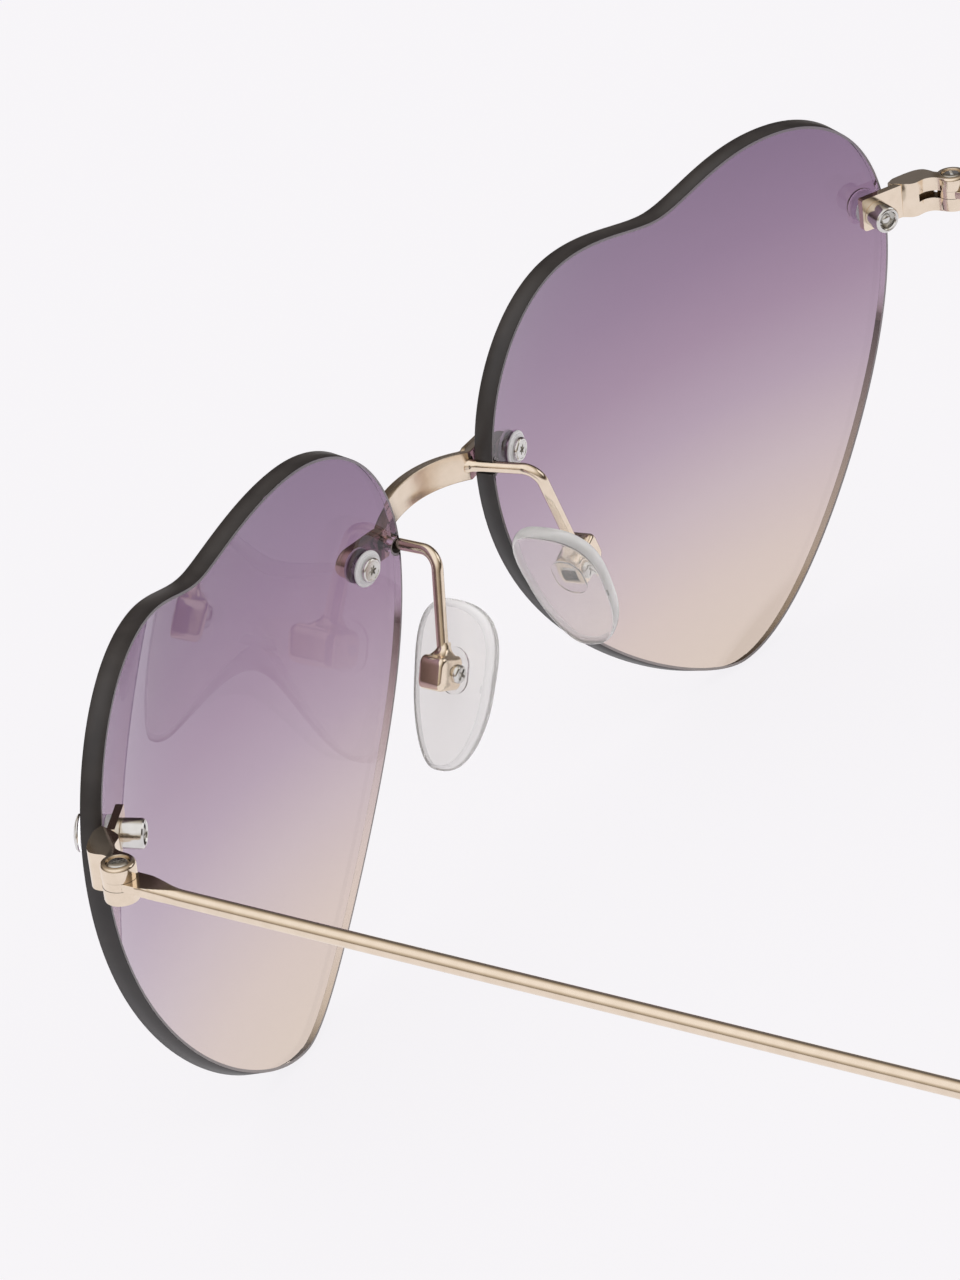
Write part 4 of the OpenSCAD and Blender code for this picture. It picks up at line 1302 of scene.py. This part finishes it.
def world():
    """A white studio, in which reflections show a room that is dark near the horizon, with a window."""
    made = bpy.data.worlds.new("studio")
    bpy.context.scene.world = made
    made.use_nodes = True
    tree = made.node_tree
    tree.nodes.clear()
    light = node(tree, "Background", {"Color": DAYLIGHT, "Strength": DAYLIGHT_STRENGTH})
    seen = node(tree, "Background", {"Color": STUDIO_WHITE})
    way = node(tree, "TexCoord", {}).outputs["Generated"]
    parts = node(tree, "SeparateXYZ", {"Vector": way}).outputs
    lean = node(tree, "Math", {0: parts["X"], 1: ROOM_LEAN, 2: parts["Z"]}, operation="MULTIPLY_ADD")
    room = node(tree, "Background", {"Color": ramp(tree, lean.outputs[0], ROOM_STOPS)})
    near = node(tree, "VectorMath", {0: way, 1: WINDOW_WAY}, operation="DOT_PRODUCT").outputs["Value"]
    spread = node(tree, "MapRange", {"Value": near, "From Min": WINDOW_EDGE, "To Max": WINDOW_STRENGTH})
    window = node(tree, "Background", {"Color": WINDOW_COLOUR, "Strength": spread.outputs["Result"]})
    lit_room = node(tree, "AddShader", {0: room.outputs[0], 1: window.outputs[0]})
    reflected = mixed(tree, ray_kinds(tree, "Is Glossy Ray"), seen, lit_room)
    mix = mixed(tree, seen_directly(tree), light, reflected)
    node(tree, "OutputWorld", {"Surface": mix.outputs[0]})


def floor():
    """A white floor that keeps the shadow. In reflections it gets darker away from the object."""
    made, tree, shader = material("floor")
    feed(tree, shader, {"Base Color": FLOOR_COLOUR, "Roughness": 0.9, "Specular IOR Level": 0.1})
    seen = node(tree, "Emission", {"Color": STUDIO_WHITE})
    place = node(tree, "NewGeometry", {}).outputs["Position"]
    away = node(tree, "VectorMath", {0: place}, operation="LENGTH").outputs["Value"]
    reflected = node(tree, "Emission", {"Color": ramp(tree, away, FLOOR_STOPS)})
    glow = mixed(tree, ray_kinds(tree, "Is Glossy Ray"), seen, reflected)
    part = node(tree, "Math", {0: seen_directly(tree), 1: FLOOR_GLOW}, operation="MULTIPLY")
    mix = mixed(tree, part.outputs[0], shader, glow)
    output = next(n for n in tree.nodes if n.type == "OUTPUT_MATERIAL")
    feed(tree, output, {"Surface": mix.outputs[0]})
    mesh = bpy.data.meshes.new("floor")
    corners = oblong(-FLOOR_HALF, -FLOOR_HALF, FLOOR_HALF, FLOOR_HALF)
    mesh.from_pydata([(x, y, 0) for x, y in corners], [], [(0, 1, 2, 3)])
    mesh.materials.append(made)
    plane = in_scene("floor", mesh)


def lamp(name, where, towards, width, height, power, mirrored=True):
    """A soft light that isn't seen through clear pieces, nor in reflections unless mirrored."""
    data = bpy.data.lights.new(name, "AREA")
    data.shape = "RECTANGLE"
    data.size = width
    data.size_y = height
    data.energy = power
    made = in_scene(name, data)
    made.location = where
    made.visible_glossy = mirrored
    made.visible_transmission = False
    made.rotation_mode = "QUATERNION"
    made.rotation_quaternion = (Vector(towards) - Vector(where)).to_track_quat("-Z", "Y")


world()
floor()
lamp("key", (0.1, -0.35, 1.15), (0, 0, 0), 1.8, 1.4, 9.0, False)
lamp("fill", (-1.0, 0.9, 0.8), (0, 0, 0.02), 1.0, 0.8, 2.5)
scene = bpy.context.scene
scene.view_settings.view_transform = "Standard"
